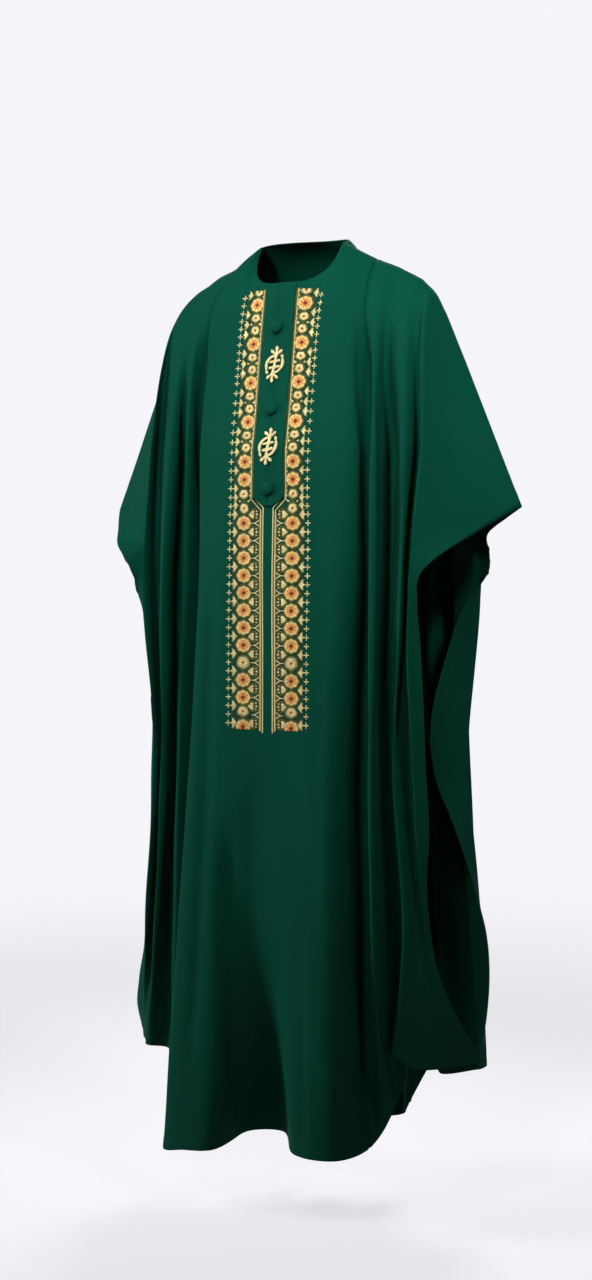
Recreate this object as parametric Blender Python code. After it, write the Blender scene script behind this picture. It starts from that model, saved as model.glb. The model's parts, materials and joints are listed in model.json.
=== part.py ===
"""Grand boubou robe: a wide gown cut as a centre panel and two side wings, front and back.

It stands in the hollow form that its wearer gives it, open at the neck, the sleeve mouths and the
hem.  Metres, +Z up.  The wearer faces -Y and their left is +X.  The origin is the point between the
shoulders where the robe is carried.

Each half of the robe, front and back, is one sheet of cloth drawn through fold lines that run from
the shoulder line down to the hem.  The sheet is cut at its panel seams, and every panel then gets
its wall.
"""

import math
from typing import NamedTuple

import bmesh
import bpy
from mathutils import Vector

# ---------------------------------------------------------------- driving sizes, metres
MM = 0.001
SUPPORT_HEIGHT = 1.500          # shoulders that carry the robe, above the floor under the wearer
CLOTH = 0.0016                  # wall of one layer of cloth
SEAM_GAP = 0.0003               # between two pieces that are sewn together

NECK_HALF_WIDTH = 0.074
NECK_HALF_DEPTH = 0.072
NECK_CENTRE_Y = -0.033
NECK_FRONT_HEIGHT = 1.497
NECK_SIDE_HEIGHT = 1.565
NECK_BACK_HEIGHT = 1.578
NECK_RISE_POWER = 1.5           # how late the neckline climbs towards the shoulder

PANEL_SEAM_X = 0.122            # seam between centre panel and wing, on the shoulder line
SHOULDER_LINE = (               # x, y and height of the shoulder line's corners
    (NECK_HALF_WIDTH, NECK_CENTRE_Y, NECK_SIDE_HEIGHT),
    (PANEL_SEAM_X, -0.010, 1.538),
    (0.160, -0.008, 1.524),
    (0.200, -0.006, 1.503),
    (0.225, -0.005, 1.478),
    (0.243, -0.004, 1.446),
    (0.275, -0.002, 1.372),
    (0.371, 0.003, 1.139),
)
SLEEVE_TIP_X = SHOULDER_LINE[-1][0]
CROWN_DROP = 0.075              # how quickly the cloth turns down over the shoulder
CROWN_POWER = 0.8
CROWN_FRONT_Y, CROWN_BACK_Y = -0.118, 0.112     # the smooth cloth over chest and shoulder blades
ARM_FRONT_Y, ARM_BACK_Y = -0.085, 0.042         # and over the arms
ARM_STARTS_X, ARM_WHOLE_X = 0.160, 0.215
CROWN_FADE = 24.0               # how quickly the neckline's own curve dies out down the panel

CHEST, ELBOW, HIP, KNEE = 1.230, 1.030, 0.740, 0.460    # heights at which the fold lines are placed


class Fold(NamedTuple):
    """One fold line: where it leaves the shoulder line, how late it forms, and where it runs.

    chest, elbow, hip and knee are x and y in mm at those heights; hem is x, y and height in mm.
    """
    name: str
    along: float
    forms: float
    chest: tuple
    elbow: tuple
    hip: tuple
    knee: tuple
    hem: tuple


class Edge(NamedTuple):
    """A free sleeve edge, from the sleeve tip to the bottom corner: rows of height, x and y in mm."""
    name: str
    rows: tuple


FRONT_RIGHT_EDGE = Edge("front_right_edge", (
    (1139, -371, 3), (1106, -327, -72), (1074, -283, -146), (1055, -268, -150), (1035, -257, -147),
    (1010, -255, -134), (980, -252, -120), (907, -249, -112), (780, -241, -106), (691, -244, -104),
    (611, -250, -100), (461, -262, -96), (405, -276, -78), (345, -303, -48), (297, -325, -20),
    (270, -328, -6), (247, -320, -6)))

FRONT_FOLDS = (
    # name, along, forms, then x and y in mm at the chest, elbow, hip and knee, and x, y and height at the hem
    Fold("right_arm_top", -215, 1, (-238, -118), (-238, -140), (-226, -129), (-250, -115), (-304, -34, 246)),
    Fold("right_arm_valley", -205, 1, (-243, -82), (-238, -98), (-226, -92), (-247, -90), (-286, -56, 244)),
    Fold("right_pleat", -186, 2, (-196, -126), (-202, -140), (-213, -125), (-230, -118), (-264, -86, 243)),
    Fold("right_hollow", -168, 2, (-188, -84), (-206, -78), (-210, -74), (-224, -74), (-232, -76, 240)),
    Fold("right_inner", -146, 2, (-168, -118), (-172, -122), (-184, -120), (-192, -118), (-204, -104, 228)),
    Fold("right_seam", -122, 2, (-156, -88), (-150, -80), (-150, -74), (-158, -68), (-168, -74, 168)),
    Fold("right_crest", -98, 2, (-138, -124), (-133, -138), (-144, -150), (-161, -161), (-183, -172, 98)),
    Fold("right_panel", -74, 2, (-94, -140), (-92, -149), (-96, -156), (-108, -170), (-130, -196, 104)),
    Fold("right_lobe", -45, 2, (-50, -146), (-50, -151), (-52, -155), (-66, -164), (-80, -194, 109)),
    Fold("hollow_right", -15, 2, (-17, -148), (-17, -151), (-20, -152), (-38, -142), (-62, -92, 122)),
    Fold("hollow_left", 15, 2, (17, -148), (17, -151), (14, -152), (0, -148), (-8, -88, 126)),
    Fold("left_lobe", 45, 2, (50, -146), (50, -151), (48, -154), (50, -166), (66, -188, 118)),
    Fold("left_panel", 74, 2, (96, -142), (92, -149), (86, -156), (90, -174), (110, -206, 117)),
    Fold("left_crest", 98, 2, (141, -134), (134, -141), (116, -152), (126, -170), (150, -196, 118)),
    Fold("left_seam", 122, 2, (158, -108), (156, -94), (140, -82), (144, -84), (166, -120, 124)),
    Fold("left_inner", 146, 2, (179, -136), (180, -141), (181, -150), (186, -150), (184, -106, 152)),
    Fold("left_hollow", 168, 2, (186, -78), (182, -72), (180, -72), (198, -62), (197, -52, 236)),
    Fold("left_pleat", 186, 2, (228, -130), (230, -141), (216, -140), (232, -134), (206, -120, 276)),
    Fold("left_arm_valley", 205, 1, (236, -88), (233, -108), (226, -100), (246, -110), (238, -112, 256)),
    Fold("left_arm_top", 215, 1, (255, -122), (250, -156), (248, -137), (260, -112), (276, -70, 252)),
)

FRONT_LEFT_EDGE = Edge("front_left_edge", (
    (1139, 371, 3), (1100, 325, -62), (1056, 282, -132), (1030, 263, -148), (1000, 260, -146),
    (928, 260, -136), (860, 262, -132), (786, 262, -124), (740, 261, -118), (630, 265, -112),
    (545, 259, -108), (503, 260, -104), (401, 273, -88), (338, 288, -60), (290, 300, -25),
    (273, 304, -6), (253, 304, -6)))

BACK_FOLDS = (                  # the wearer's left half, from the centre outwards
    Fold("back_centre", 0, 2, (0, 128), (0, 126), (0, 130), (0, 132), (0, 138, 116)),
    Fold("back_inner", 40, 2, (48, 122), (46, 112), (43, 107), (43, 104), (43, 102, 120)),
    Fold("back_panel", 74, 2, (98, 124), (90, 126), (86, 136), (88, 142), (90, 146, 116)),
    Fold("back_seam", 122, 2, (152, 92), (149, 82), (142, 84), (138, 90), (132, 96, 150)),
    Fold("back_pleat_in", 146, 2, (176, 122), (180, 130), (180, 132), (182, 130), (170, 112, 222)),
    Fold("back_hollow", 168, 2, (182, 72), (184, 66), (188, 64), (200, 64), (206, 66, 212)),
    Fold("back_pleat", 186, 2, (222, 112), (226, 116), (230, 118), (244, 116), (248, 100, 216)),
    Fold("back_arm_valley", 205, 1, (226, 66), (226, 64), (230, 64), (256, 66), (278, 64, 228)),
    Fold("back_arm_top", 215, 1, (246, 74), (262, 90), (258, 52), (286, 42), (301, 30, 241)),
)

BACK_EDGE = Edge("back_edge", (
    (1139, 371, 3), (1120, 328, 36), (1100, 288, 62), (1062, 280, 84), (1035, 276, 88),
    (990, 258, 46), (900, 246, -10), (770, 242, -60), (704, 248, -50), (645, 264, -30), (516, 293, 6),
    (466, 307, 8), (405, 315, 8), (351, 315, 6), (301, 310, 0), (273, 304, -6), (253, 304, -6)))

FRONT_COLUMNS = 3               # wall columns between two fold lines
BACK_COLUMNS = 4
SLEEVE_FACE_COLUMNS = 5         # wall columns on the flat face over the arm
FACE_SPREAD = 0.28              # how soon the sleeve face's columns spread evenly over it
ROWS = 24                       # wall rows from the shoulder line to the hem
ROW_POWER = 1.25                # rows lie closer together at the shoulder

# ---------------------------------------------------------------- what lies on the front panel
PLACKET_HALF_WIDTH = 0.027
PLACKET_END_HALF_WIDTH = 0.0075
PLACKET_CORNER_HEIGHT = 1.154   # where the placket starts to narrow
PLACKET_END_HEIGHT = 1.140
PLACKET_COLUMNS, PLACKET_ROWS = 3, 18
OVERLAP = 0.0010                # the wearer's left half lies this much higher than the right
BUTTON_HEIGHTS = (1.426, 1.295, 1.168)
BUTTON_RADIUS = 0.0105
BUTTON_THICKNESS = 0.0065
BUTTON_SEAT = 0.0005            # under the flat back of a button, on the curved placket
BUTTON_SIDES, BUTTON_RINGS = 20, 4
SYMBOL_HEIGHTS = (1.366, 1.235)
SYMBOL_THICKNESS = 0.0016


class Stroke(NamedTuple):
    """One raised stroke of the symbol, in mm from the symbol's middle, with its half widths.

    root names the spine segment that it grows from, and side the edge of that segment.
    """
    name: str
    root: int
    side: int
    points: tuple               # x, y and half width


SPINE = (                       # x, y and half width in mm, upper half: the lower half is its half turn
    (0.0, 0.0, 2.1), (0.5, 3.2, 2.1), (1.0, 6.6, 2.1), (1.7, 10.6, 2.0), (2.4, 14.4, 2.3),
    (2.8, 17.4, 1.9), (3.0, 19.8, 1.4))
STROKES = (                     # upper half; side -1 is the wearer's right
    Stroke("arc", 3, -1, ((-3.2, 13.2, 1.6), (-7.4, 10.8, 1.9), (-11.2, 7.2, 2.0), (-13.8, 2.6, 2.3),
                          (-14.6, -2.4, 2.3), (-14.2, -6.8, 1.8), (-13.6, -9.4, 0.9),
                          (-13.2, -12.0, 2.4), (-12.4, -14.6, 1.4))),
    Stroke("bar_inner", 1, -1, ((-4.6, 4.2, 1.6), (-8.2, 3.2, 1.8))),
    Stroke("bar_outer", 1, 1, ((5.4, 5.4, 1.6), (8.6, 6.2, 1.8))),
    Stroke("petal_inner", 4, -1, ((-2.4, 18.4, 1.5), (-4.6, 20.4, 2.7), (-6.6, 22.2, 1.6))),
    Stroke("petal_outer", 4, 1, ((7.4, 18.4, 1.5), (9.8, 20.4, 2.7), (11.8, 22.2, 1.6))),
    Stroke("crown", 6, 0, ((3.1, 22.4, 1.5), (3.2, 25.2, 2.9), (3.3, 28.0, 1.7))),
)

DEEP_GREEN = (0.006, 0.075, 0.043)
GOLD_THREAD = (0.62, 0.36, 0.10)


def lerp(a, b, t):
    return a + (b - a) * t


def shoulder_point(x):
    """The shoulder line at a distance x from the centre, beyond the neck."""
    side = math.copysign(1.0, x)
    reach = abs(x)
    for (x0, y0, h0), (x1, y1, h1) in zip(SHOULDER_LINE, SHOULDER_LINE[1:]):
        if reach <= x1 + 1e-9:
            t = (reach - x0) / (x1 - x0)
            return Vector((side * reach, lerp(y0, y1, t), lerp(h0, h1, t)))
    raise ValueError("beyond the sleeve tip")


def neckline_point(x, facing):
    """The neckline at x: facing is -1 on the front and +1 on the back."""
    angle = math.asin(max(-1.0, min(1.0, abs(x) / NECK_HALF_WIDTH)))
    depth = math.cos(angle)
    end_height = NECK_FRONT_HEIGHT if facing < 0 else NECK_BACK_HEIGHT
    rise = (1.0 - depth) ** NECK_RISE_POWER
    return Vector((x, NECK_CENTRE_Y + facing * NECK_HALF_DEPTH * depth,
                   lerp(end_height, NECK_SIDE_HEIGHT, rise)))


def top_point(x, facing):
    """Where the cloth at x starts: on the neckline or on the shoulder line."""
    if abs(x) < NECK_HALF_WIDTH - 1e-9:
        return neckline_point(x, facing)
    return shoulder_point(x)


def hermite(p0, p1, m0, m1, t):
    t2, t3 = t * t, t * t * t
    return (p0 * (2 * t3 - 3 * t2 + 1) + m0 * (t3 - 2 * t2 + t)
            + p1 * (3 * t2 - 2 * t3) + m1 * (t3 - t2))


def smooth_at(knots, values, x):
    """A smooth curve through values (numbers or vectors) at rising knots, read at x."""
    last = len(knots) - 1
    x = max(knots[0], min(knots[-1], x))
    k = 0
    while k < last - 1 and x > knots[k + 1]:
        k += 1

    def slope(i):
        if i == 0:
            return (values[1] - values[0]) / (knots[1] - knots[0])
        if i == last:
            return (values[last] - values[last - 1]) / (knots[last] - knots[last - 1])
        before = (values[i] - values[i - 1]) / (knots[i] - knots[i - 1])
        after = (values[i + 1] - values[i]) / (knots[i + 1] - knots[i])
        a, b = knots[i] - knots[i - 1], knots[i + 1] - knots[i]
        return (before * b + after * a) / (a + b)

    width = knots[k + 1] - knots[k]
    t = (x - knots[k]) / width
    return hermite(values[k], values[k + 1], slope(k) * width, slope(k + 1) * width, t)


def crown_y(reach, facing):
    """How far forward or back the smooth cloth lies below the shoulder line."""
    body, arm = (CROWN_FRONT_Y, ARM_FRONT_Y) if facing < 0 else (CROWN_BACK_Y, ARM_BACK_Y)
    share = (reach - ARM_STARTS_X) / (ARM_WHOLE_X - ARM_STARTS_X)
    return lerp(body, arm, max(0.0, min(1.0, share)))


def fold_point(fold, facing, down):
    """A point on a fold line: down runs from 0 at the shoulder to 1 at the hem."""
    top = top_point(fold.along * MM, facing)
    hem_height = fold.hem[2] * MM
    height = lerp(top.z, hem_height, down)
    levels = ((CHEST, fold.chest), (ELBOW, fold.elbow), (HIP, fold.hip), (KNEE, fold.knee),
              (hem_height, fold.hem))
    if height > CHEST:
        drop = top.z - height
        share = drop / (top.z - CHEST)
        turned = (1.0 - math.exp(-drop / CROWN_DROP)) ** CROWN_POWER
        smooth_y = lerp(top.y, crown_y(abs(top.x), facing), turned)
        y = lerp(smooth_y, fold.chest[1] * MM, share ** fold.forms)
        x = lerp(top.x, fold.chest[0] * MM, math.sqrt(share))
        return Vector((x, y, height))
    knots = [-level for level, _ in levels]
    points = [Vector((place[0] * MM, place[1] * MM, 0.0)) for _, place in levels]
    point = smooth_at(knots, points, -height)
    return Vector((point.x, point.y, height))


def outer_point(edge, height):
    """Where a sleeve face ends at a height: on the shoulder line, or below its tip on the free edge."""
    side = math.copysign(1.0, edge.rows[0][1])
    if height > SHOULDER_LINE[-1][2]:
        for (x0, y0, h0), (x1, y1, h1) in zip(SHOULDER_LINE, SHOULDER_LINE[1:]):
            if height >= h1:
                t = (height - h0) / (h1 - h0)
                return Vector((side * lerp(x0, x1, t), lerp(y0, y1, t), height))
    levels = [-row[0] * MM for row in edge.rows]
    points = [Vector((row[1] * MM, row[2] * MM, 0.0)) for row in edge.rows]
    point = smooth_at(levels, points, -height)
    return Vector((point.x, point.y, height))


def mirrored(fold):
    """The same fold line on the wearer's other side."""
    places = [(-place[0],) + tuple(place[1:]) for place in fold[3:]]
    return Fold(fold.name + "_right", -fold.along, fold.forms, *places)


def mirrored_edge(edge):
    return Edge(edge.name + "_right", tuple((h, -x, y) for h, x, y in edge.rows))


class Sheet:
    """The front or the back of the robe before it is cut into panels."""

    def __init__(self, first_edge, folds, last_edge, facing, count):
        self.first_edge, self.folds, self.last_edge = first_edge, folds, last_edge
        self.facing, self.count = facing, count
        self.lines = len(folds) + 2

    def along(self, i):
        if i == 0:
            return -SLEEVE_TIP_X
        if i == self.lines - 1:
            return SLEEVE_TIP_X
        return self.folds[i - 1].along * MM

    def across(self, place, down):
        """A point of the sheet: place counts fold lines, with fractions between them."""
        if place < 1 or place > self.lines - 2:
            return self.face_point(place, down)
        points = [fold_point(fold, self.facing, down) for fold in self.folds]
        knots = [0.0]
        for a, b in zip(points, points[1:]):
            knots.append(knots[-1] + math.sqrt((b - a).length))
        i = min(int(place) - 1, len(points) - 2)
        return smooth_at(knots, points, lerp(knots[i], knots[i + 1], place - 1 - i))

    def face_point(self, place, down):
        """A point of a sleeve face: level lines run straight from the arm crest to the outer edge."""
        if place < 1:
            crest, edge, out = self.folds[0], self.first_edge, 1 - place
        else:
            crest, edge, out = self.folds[-1], self.last_edge, place - (self.lines - 2)
        top = shoulder_point(lerp(crest.along * MM, edge.rows[0][1] * MM, out)).z
        crest_top, crest_hem = shoulder_point(crest.along * MM).z, crest.hem[2] * MM
        height = lerp(top, lerp(crest_hem, edge.rows[-1][0] * MM, out), down)
        settled = ((top - height) / (crest_top - height)) ** FACE_SPREAD
        share = 1.0 - (1.0 - out) * settled
        crest_down = min((crest_top - height) / (crest_top - crest_hem), 1.0)
        inner = fold_point(crest, self.facing, crest_down)
        found = lerp(inner, outer_point(edge, height), share)
        return Vector((found.x, found.y, height))

    def start(self, place):
        """Where the cloth at a place starts, with even steps round the neckline."""
        i = min(int(place), self.lines - 2)
        a, b = self.along(i), self.along(i + 1)
        if max(abs(a), abs(b)) <= NECK_HALF_WIDTH + 1e-9:
            turn = lerp(math.asin(a / NECK_HALF_WIDTH), math.asin(b / NECK_HALF_WIDTH), place - i)
            return top_point(NECK_HALF_WIDTH * math.sin(turn), self.facing)
        return top_point(lerp(a, b, place - i), self.facing)

    def point(self, place, down):
        start = self.start(place)
        drawn = self.across(place, 0.0)
        return self.across(place, down) + (start - drawn) * math.exp(-CROWN_FADE * down)

    def at(self, x, height):
        """The centre panel's point at a given x and height."""
        inside = [i for i, fold in enumerate(self.folds) if abs(fold.along * MM) < NECK_HALF_WIDTH]
        low, high = inside[0] + 1, inside[-1] + 1
        place, down, found = (low + high) / 2, 0.3, None
        for _ in range(5):
            top, hem = self.start(place).z, self.across(place, 1.0).z
            down = max(0.0, min(1.0, (top - height) / (top - hem)))
            found = self.point(place, down)
            nearby = self.point(place + 0.1, down)
            place += 0.1 * (x - found.x) / (nearby.x - found.x)
        return found

    def lifted(self, x, height, lift):
        """A point that lies on the centre panel, lifted off its middle surface, in the robe's frame."""
        step = 0.004
        across = self.at(x + step, height) - self.at(x - step, height)
        upward = self.at(x, height + step) - self.at(x, height - step)
        out = across.cross(upward).normalized()
        place = self.at(x, height) + out * lift
        return place - Vector((0.0, 0.0, SUPPORT_HEIGHT)), out

    def places(self, first, last):
        """Columns between two fold lines, finer over the flat sleeve face."""
        result = []
        for i in range(first, last):
            on_face = i == 0 or i == self.lines - 2
            count = SLEEVE_FACE_COLUMNS if on_face else self.count
            result += [i + k / count for k in range(count)]
        return result + [last]

    def grid(self):
        """All the sheet's points and their outward directions, column by column."""
        self.columns = self.places(0, self.lines - 1)
        self.downs = [(j / ROWS) ** ROW_POWER for j in range(ROWS + 1)]
        self.points = [[self.point(c, d) for d in self.downs] for c in self.columns]
        self.normals = [[self.normal(i, j) for j in range(ROWS + 1)] for i in range(len(self.columns))]

    def tangent(self, i, j):
        """The direction across a row, half way between the steps before and after it."""
        here = self.points[i][j]
        before = here - self.points[max(i - 1, 0)][j]
        after = self.points[min(i + 1, len(self.columns) - 1)][j] - here
        return (before.normalized() + after.normalized()).normalized()

    def normal(self, i, j):
        last_i, last_j = len(self.columns) - 1, ROWS
        a, b = self.points[max(i - 1, 0)][j], self.points[min(i + 1, last_i)][j]
        c, d = self.points[i][max(j - 1, 0)], self.points[i][min(j + 1, last_j)]
        if j == 0 and abs(self.points[i][0].x) >= NECK_HALF_WIDTH - 1e-6:
            along = (b - a).normalized()
            if abs(abs(self.points[i][0].x) - NECK_HALF_WIDTH) < 1e-6:
                outer = b if abs(b.x) > abs(a.x) else a
                along = (outer - self.points[i][0]).normalized()
            up = Vector((0.0, 0.0, 1.0))
            return (up - along * up.dot(along)).normalized()
        if j >= last_j - 1 and i in (0, last_i):
            down = (d - c).normalized()
            out = Vector((math.copysign(1.0, self.points[i][j].x), 0.0, 0.0))
            return (out - down * out.dot(down)).normalized()
        return (self.tangent(i, j).cross(d - c) * self.facing).normalized()


def face_out(mesh):
    """Turn every face of a closed mesh outwards."""
    bmesh.ops.recalc_face_normals(mesh, faces=mesh.faces)
    if mesh.calc_volume(signed=True) < 0:
        bmesh.ops.reverse_faces(mesh, faces=mesh.faces)


def wall_mesh(outer, inner):
    """One closed wall between two grids of points, column by column."""
    columns, rows = len(outer), len(outer[0])
    mesh = bmesh.new()
    far = [[mesh.verts.new(p) for p in column] for column in outer]
    near = [[mesh.verts.new(p) for p in column] for column in inner]
    for i in range(columns - 1):
        for j in range(rows - 1):
            one_way = (outer[i][j] + inner[i][j] - outer[i + 1][j + 1] - inner[i + 1][j + 1]).length
            other_way = (outer[i + 1][j] + inner[i + 1][j] - outer[i][j + 1] - inner[i][j + 1]).length
            for side in (far, near):
                a, b, c, d = side[i][j], side[i + 1][j], side[i + 1][j + 1], side[i][j + 1]
                halves = ((a, b, c), (a, c, d)) if one_way < other_way else ((a, b, d), (b, c, d))
                for half in halves:
                    mesh.faces.new(half if side is far else half[::-1])
    rim = [(i, 0) for i in range(columns)] + [(columns - 1, j) for j in range(1, rows)]
    rim += [(i, rows - 1) for i in range(columns - 2, -1, -1)] + [(0, j) for j in range(rows - 2, 0, -1)]
    for (i0, j0), (i1, j1) in zip(rim, rim[1:] + rim[:1]):
        a, b, c, d = far[i1][j1], far[i0][j0], near[i0][j0], near[i1][j1]
        downwards = (j0, i0) < (j1, i1)
        for half in ((a, b, c), (a, c, d)) if downwards else ((a, b, d), (b, c, d)):
            mesh.faces.new(half)
    face_out(mesh)
    return mesh


def material(name, colour, roughness):
    made = bpy.data.materials.new(name)
    made.use_nodes = True
    shader = made.node_tree.nodes["Principled BSDF"]
    shader.inputs["Base Color"].default_value = (*colour, 1.0)
    shader.inputs["Roughness"].default_value = roughness
    shader.inputs["Metallic"].default_value = 0.0
    return made


def add_object(name, mesh, finish, smooth_angle=math.radians(50)):
    data = bpy.data.meshes.new(name)
    mesh.to_mesh(data)
    mesh.free()
    data.shade_smooth()
    data.set_sharp_from_angle(angle=smooth_angle)
    data.materials.append(finish)
    made = bpy.data.objects.new(name, data)
    bpy.context.scene.collection.objects.link(made)
    return made


def panel(name, sheet, first, last, finish):
    """Cut one panel out of a sheet between two fold lines and give it its wall."""
    begin = sheet.columns.index(first)
    end = sheet.columns.index(last)
    outer, inner = [], []
    for i in range(begin, end + 1):
        far, near = [], []
        for j in range(ROWS + 1):
            place = sheet.points[i][j].copy()
            if i in (begin, end) and 0 < i < len(sheet.columns) - 1:
                place += sheet.tangent(i, j) * (SEAM_GAP / 2) * (1 if i == begin else -1)
            on_shoulder = j == 0 and abs(place.x) >= NECK_HALF_WIDTH - 0.001
            on_side_seam = j >= ROWS - 1 and i in (0, len(sheet.columns) - 1)
            if on_shoulder or on_side_seam:
                place.y += sheet.facing * SEAM_GAP / 2
            step = sheet.normals[i][j] * (CLOTH / 2)
            place.z -= SUPPORT_HEIGHT
            far.append(place + step)
            near.append(place - step)
        outer.append(far)
        inner.append(near)
    return add_object(name, wall_mesh(outer, inner), finish)


def placket_half(name, sheet, side, finish):
    """One half of the placket band: it lies on the panel from the neckline to its pointed end."""
    under = CLOTH / 2 + SEAM_GAP + (OVERLAP if side > 0 else 0.0)
    outer, inner = [], []
    for k in range(PLACKET_COLUMNS + 1):
        share = k / PLACKET_COLUMNS
        reach = lerp(SEAM_GAP / 2, PLACKET_HALF_WIDTH, share)
        taper = (reach - PLACKET_END_HALF_WIDTH) / (PLACKET_HALF_WIDTH - PLACKET_END_HALF_WIDTH)
        bottom = lerp(PLACKET_END_HEIGHT, PLACKET_CORNER_HEIGHT, max(0.0, taper))
        top = top_point(side * reach, sheet.facing).z - SEAM_GAP
        heights = [lerp(top, bottom, j / PLACKET_ROWS) for j in range(PLACKET_ROWS + 1)]
        inner.append([sheet.lifted(side * reach, h, under)[0] for h in heights])
        outer.append([sheet.lifted(side * reach, h, under + CLOTH)[0] for h in heights])
    return add_object(name, wall_mesh(outer, inner), finish)


def covered_button(name, sheet, height, finish):
    """A cloth-covered dome button with a flat back."""
    seat = CLOTH / 2 + SEAM_GAP + OVERLAP + CLOTH + BUTTON_SEAT
    centre, out = sheet.lifted(0.0, height, seat)
    turn = out.to_track_quat("Z", "Y").to_matrix()
    mesh = bmesh.new()
    rings = []
    for k in range(BUTTON_RINGS + 1):
        angle = (math.pi / 2) * k / (BUTTON_RINGS + 1)
        radius = BUTTON_RADIUS * math.cos(angle) ** 0.7
        rise = BUTTON_THICKNESS * math.sin(angle)
        around = [2 * math.pi * n / BUTTON_SIDES for n in range(BUTTON_SIDES)]
        ring = [Vector((radius * math.cos(a), radius * math.sin(a), rise)) for a in around]
        rings.append([mesh.verts.new(centre + turn @ place) for place in ring])
    top = mesh.verts.new(centre + turn @ Vector((0.0, 0.0, BUTTON_THICKNESS)))
    mesh.faces.new(list(reversed(rings[0])))
    for low, high in zip(rings, rings[1:]):
        for n in range(BUTTON_SIDES):
            m = (n + 1) % BUTTON_SIDES
            mesh.faces.new((low[n], low[m], high[m], high[n]))
    for n in range(BUTTON_SIDES):
        mesh.faces.new((rings[-1][n], rings[-1][(n + 1) % BUTTON_SIDES], top))
    face_out(mesh)
    return add_object(name, mesh, finish)


def strip_sides(points):
    """The left and right side points of a strip drawn through points with half widths."""
    left, right = [], []
    for k, (x, y, half) in enumerate(points):
        before, after = points[max(k - 1, 0)], points[min(k + 1, len(points) - 1)]
        dx, dy = after[0] - before[0], after[1] - before[1]
        size = math.hypot(dx, dy)
        left.append((x - dy / size * half, y + dx / size * half))
        right.append((x + dy / size * half, y - dx / size * half))
    return left, right


def symbol_quads():
    """The symbol as flat quads in mm that share their corners: a spine with strokes growing from it."""
    lower = tuple((-x, -y, half) for x, y, half in reversed(SPINE[1:]))
    spine = lower + SPINE
    middle = len(lower)
    left, right = strip_sides(spine)
    quads = [(left[k], right[k], right[k + 1], left[k + 1]) for k in range(len(spine) - 1)]
    for stroke in STROKES:
        for turn in (1, -1):
            k = middle + stroke.root if turn > 0 else middle - stroke.root - 1
            if stroke.side == 0:
                root = (left[-1], right[-1]) if turn > 0 else (right[0], left[0])
            elif stroke.side * turn < 0:
                root = (left[k], left[k + 1])
            else:
                root = (right[k + 1], right[k])
            start = ((root[0][0] + root[1][0]) / 2, (root[0][1] + root[1][1]) / 2, 1.0)
            line = (start,) + tuple((turn * x, turn * y, half) for x, y, half in stroke.points)
            sides = strip_sides(line)
            strip = [root] + list(zip(*sides))[1:]
            quads += [(a[0], a[1], b[1], b[0]) for a, b in zip(strip, strip[1:])]
    return quads


def raised_symbol(name, sheet, height, finish):
    """The symbol as a raised plate that lies on the placket."""
    under = CLOTH / 2 + SEAM_GAP + OVERLAP + CLOTH + SEAM_GAP
    mesh = bmesh.new()
    corners, counts = {}, {}

    def corner(x, y, level):
        key = (round(x, 4), round(y, 4), level)
        if key not in corners:
            lift = under + (SYMBOL_THICKNESS if level else 0.0)
            corners[key] = mesh.verts.new(sheet.lifted(x * MM, height + y * MM, lift)[0])
        return corners[key]

    quads = symbol_quads()
    for quad in quads:
        for a, b in zip(quad, quad[1:] + quad[:1]):
            key = frozenset(((round(a[0], 4), round(a[1], 4)), (round(b[0], 4), round(b[1], 4))))
            counts[key] = counts.get(key, 0) + 1
    for quad in quads:
        mesh.faces.new([corner(x, y, 1) for x, y in quad])
        mesh.faces.new([corner(x, y, 0) for x, y in reversed(quad)])
        for a, b in zip(quad, quad[1:] + quad[:1]):
            key = frozenset(((round(a[0], 4), round(a[1], 4)), (round(b[0], 4), round(b[1], 4))))
            if counts[key] == 1:
                mesh.faces.new((corner(*b, 1), corner(*a, 1), corner(*a, 0), corner(*b, 0)))
    face_out(mesh)
    return add_object(name, mesh, finish)


def clear_scene():
    for old in list(bpy.data.objects):
        bpy.data.objects.remove(old, do_unlink=True)


def main():
    clear_scene()
    front = Sheet(FRONT_RIGHT_EDGE, FRONT_FOLDS, FRONT_LEFT_EDGE, facing=-1, count=FRONT_COLUMNS)
    back_folds = tuple(mirrored(f) for f in reversed(BACK_FOLDS[1:])) + BACK_FOLDS
    back = Sheet(mirrored_edge(BACK_EDGE), back_folds, BACK_EDGE, facing=1, count=BACK_COLUMNS)
    green = material("green_cloth", DEEP_GREEN, 0.8)
    for side, sheet in (("front", front), ("back", back)):
        sheet.grid()
        seam_along = PANEL_SEAM_X / MM
        seams = [i + 1 for i, fold in enumerate(sheet.folds) if abs(abs(fold.along) - seam_along) < 0.5]
        edges = (0, *seams, sheet.lines - 1)
        names = ("right_%s_wing" % side, "%s_centre_panel" % side, "left_%s_wing" % side)
        for name, first, last in zip(names, edges, edges[1:]):
            panel(name, sheet, first, last, green)
    placket_half("placket_under", front, -1, green)
    placket_half("placket_over", front, 1, green)
    gold = material("gold_thread", GOLD_THREAD, 0.6)
    for number, height in enumerate(BUTTON_HEIGHTS, start=1):
        covered_button("button_%d" % number, front, height, green)
    for number, height in enumerate(SYMBOL_HEIGHTS, start=1):
        raised_symbol("symbol_%d" % number, front, height, gold)


main()
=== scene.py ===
"""Looks of a wide embroidered robe: draped cloth, placket, covered buttons and thread work.

Sizes are in metres, apart from the fold tables and the embroidery, which are drawn in mm. Heights are above
the wearer's floor, +x is to the wearer's left and -y is out of the robe's front.
"""

from __future__ import annotations

import json
import logging
import math
from dataclasses import dataclass
from enum import Enum
from typing import Callable, Dict, List, NamedTuple, Optional, Sequence, Tuple

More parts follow.
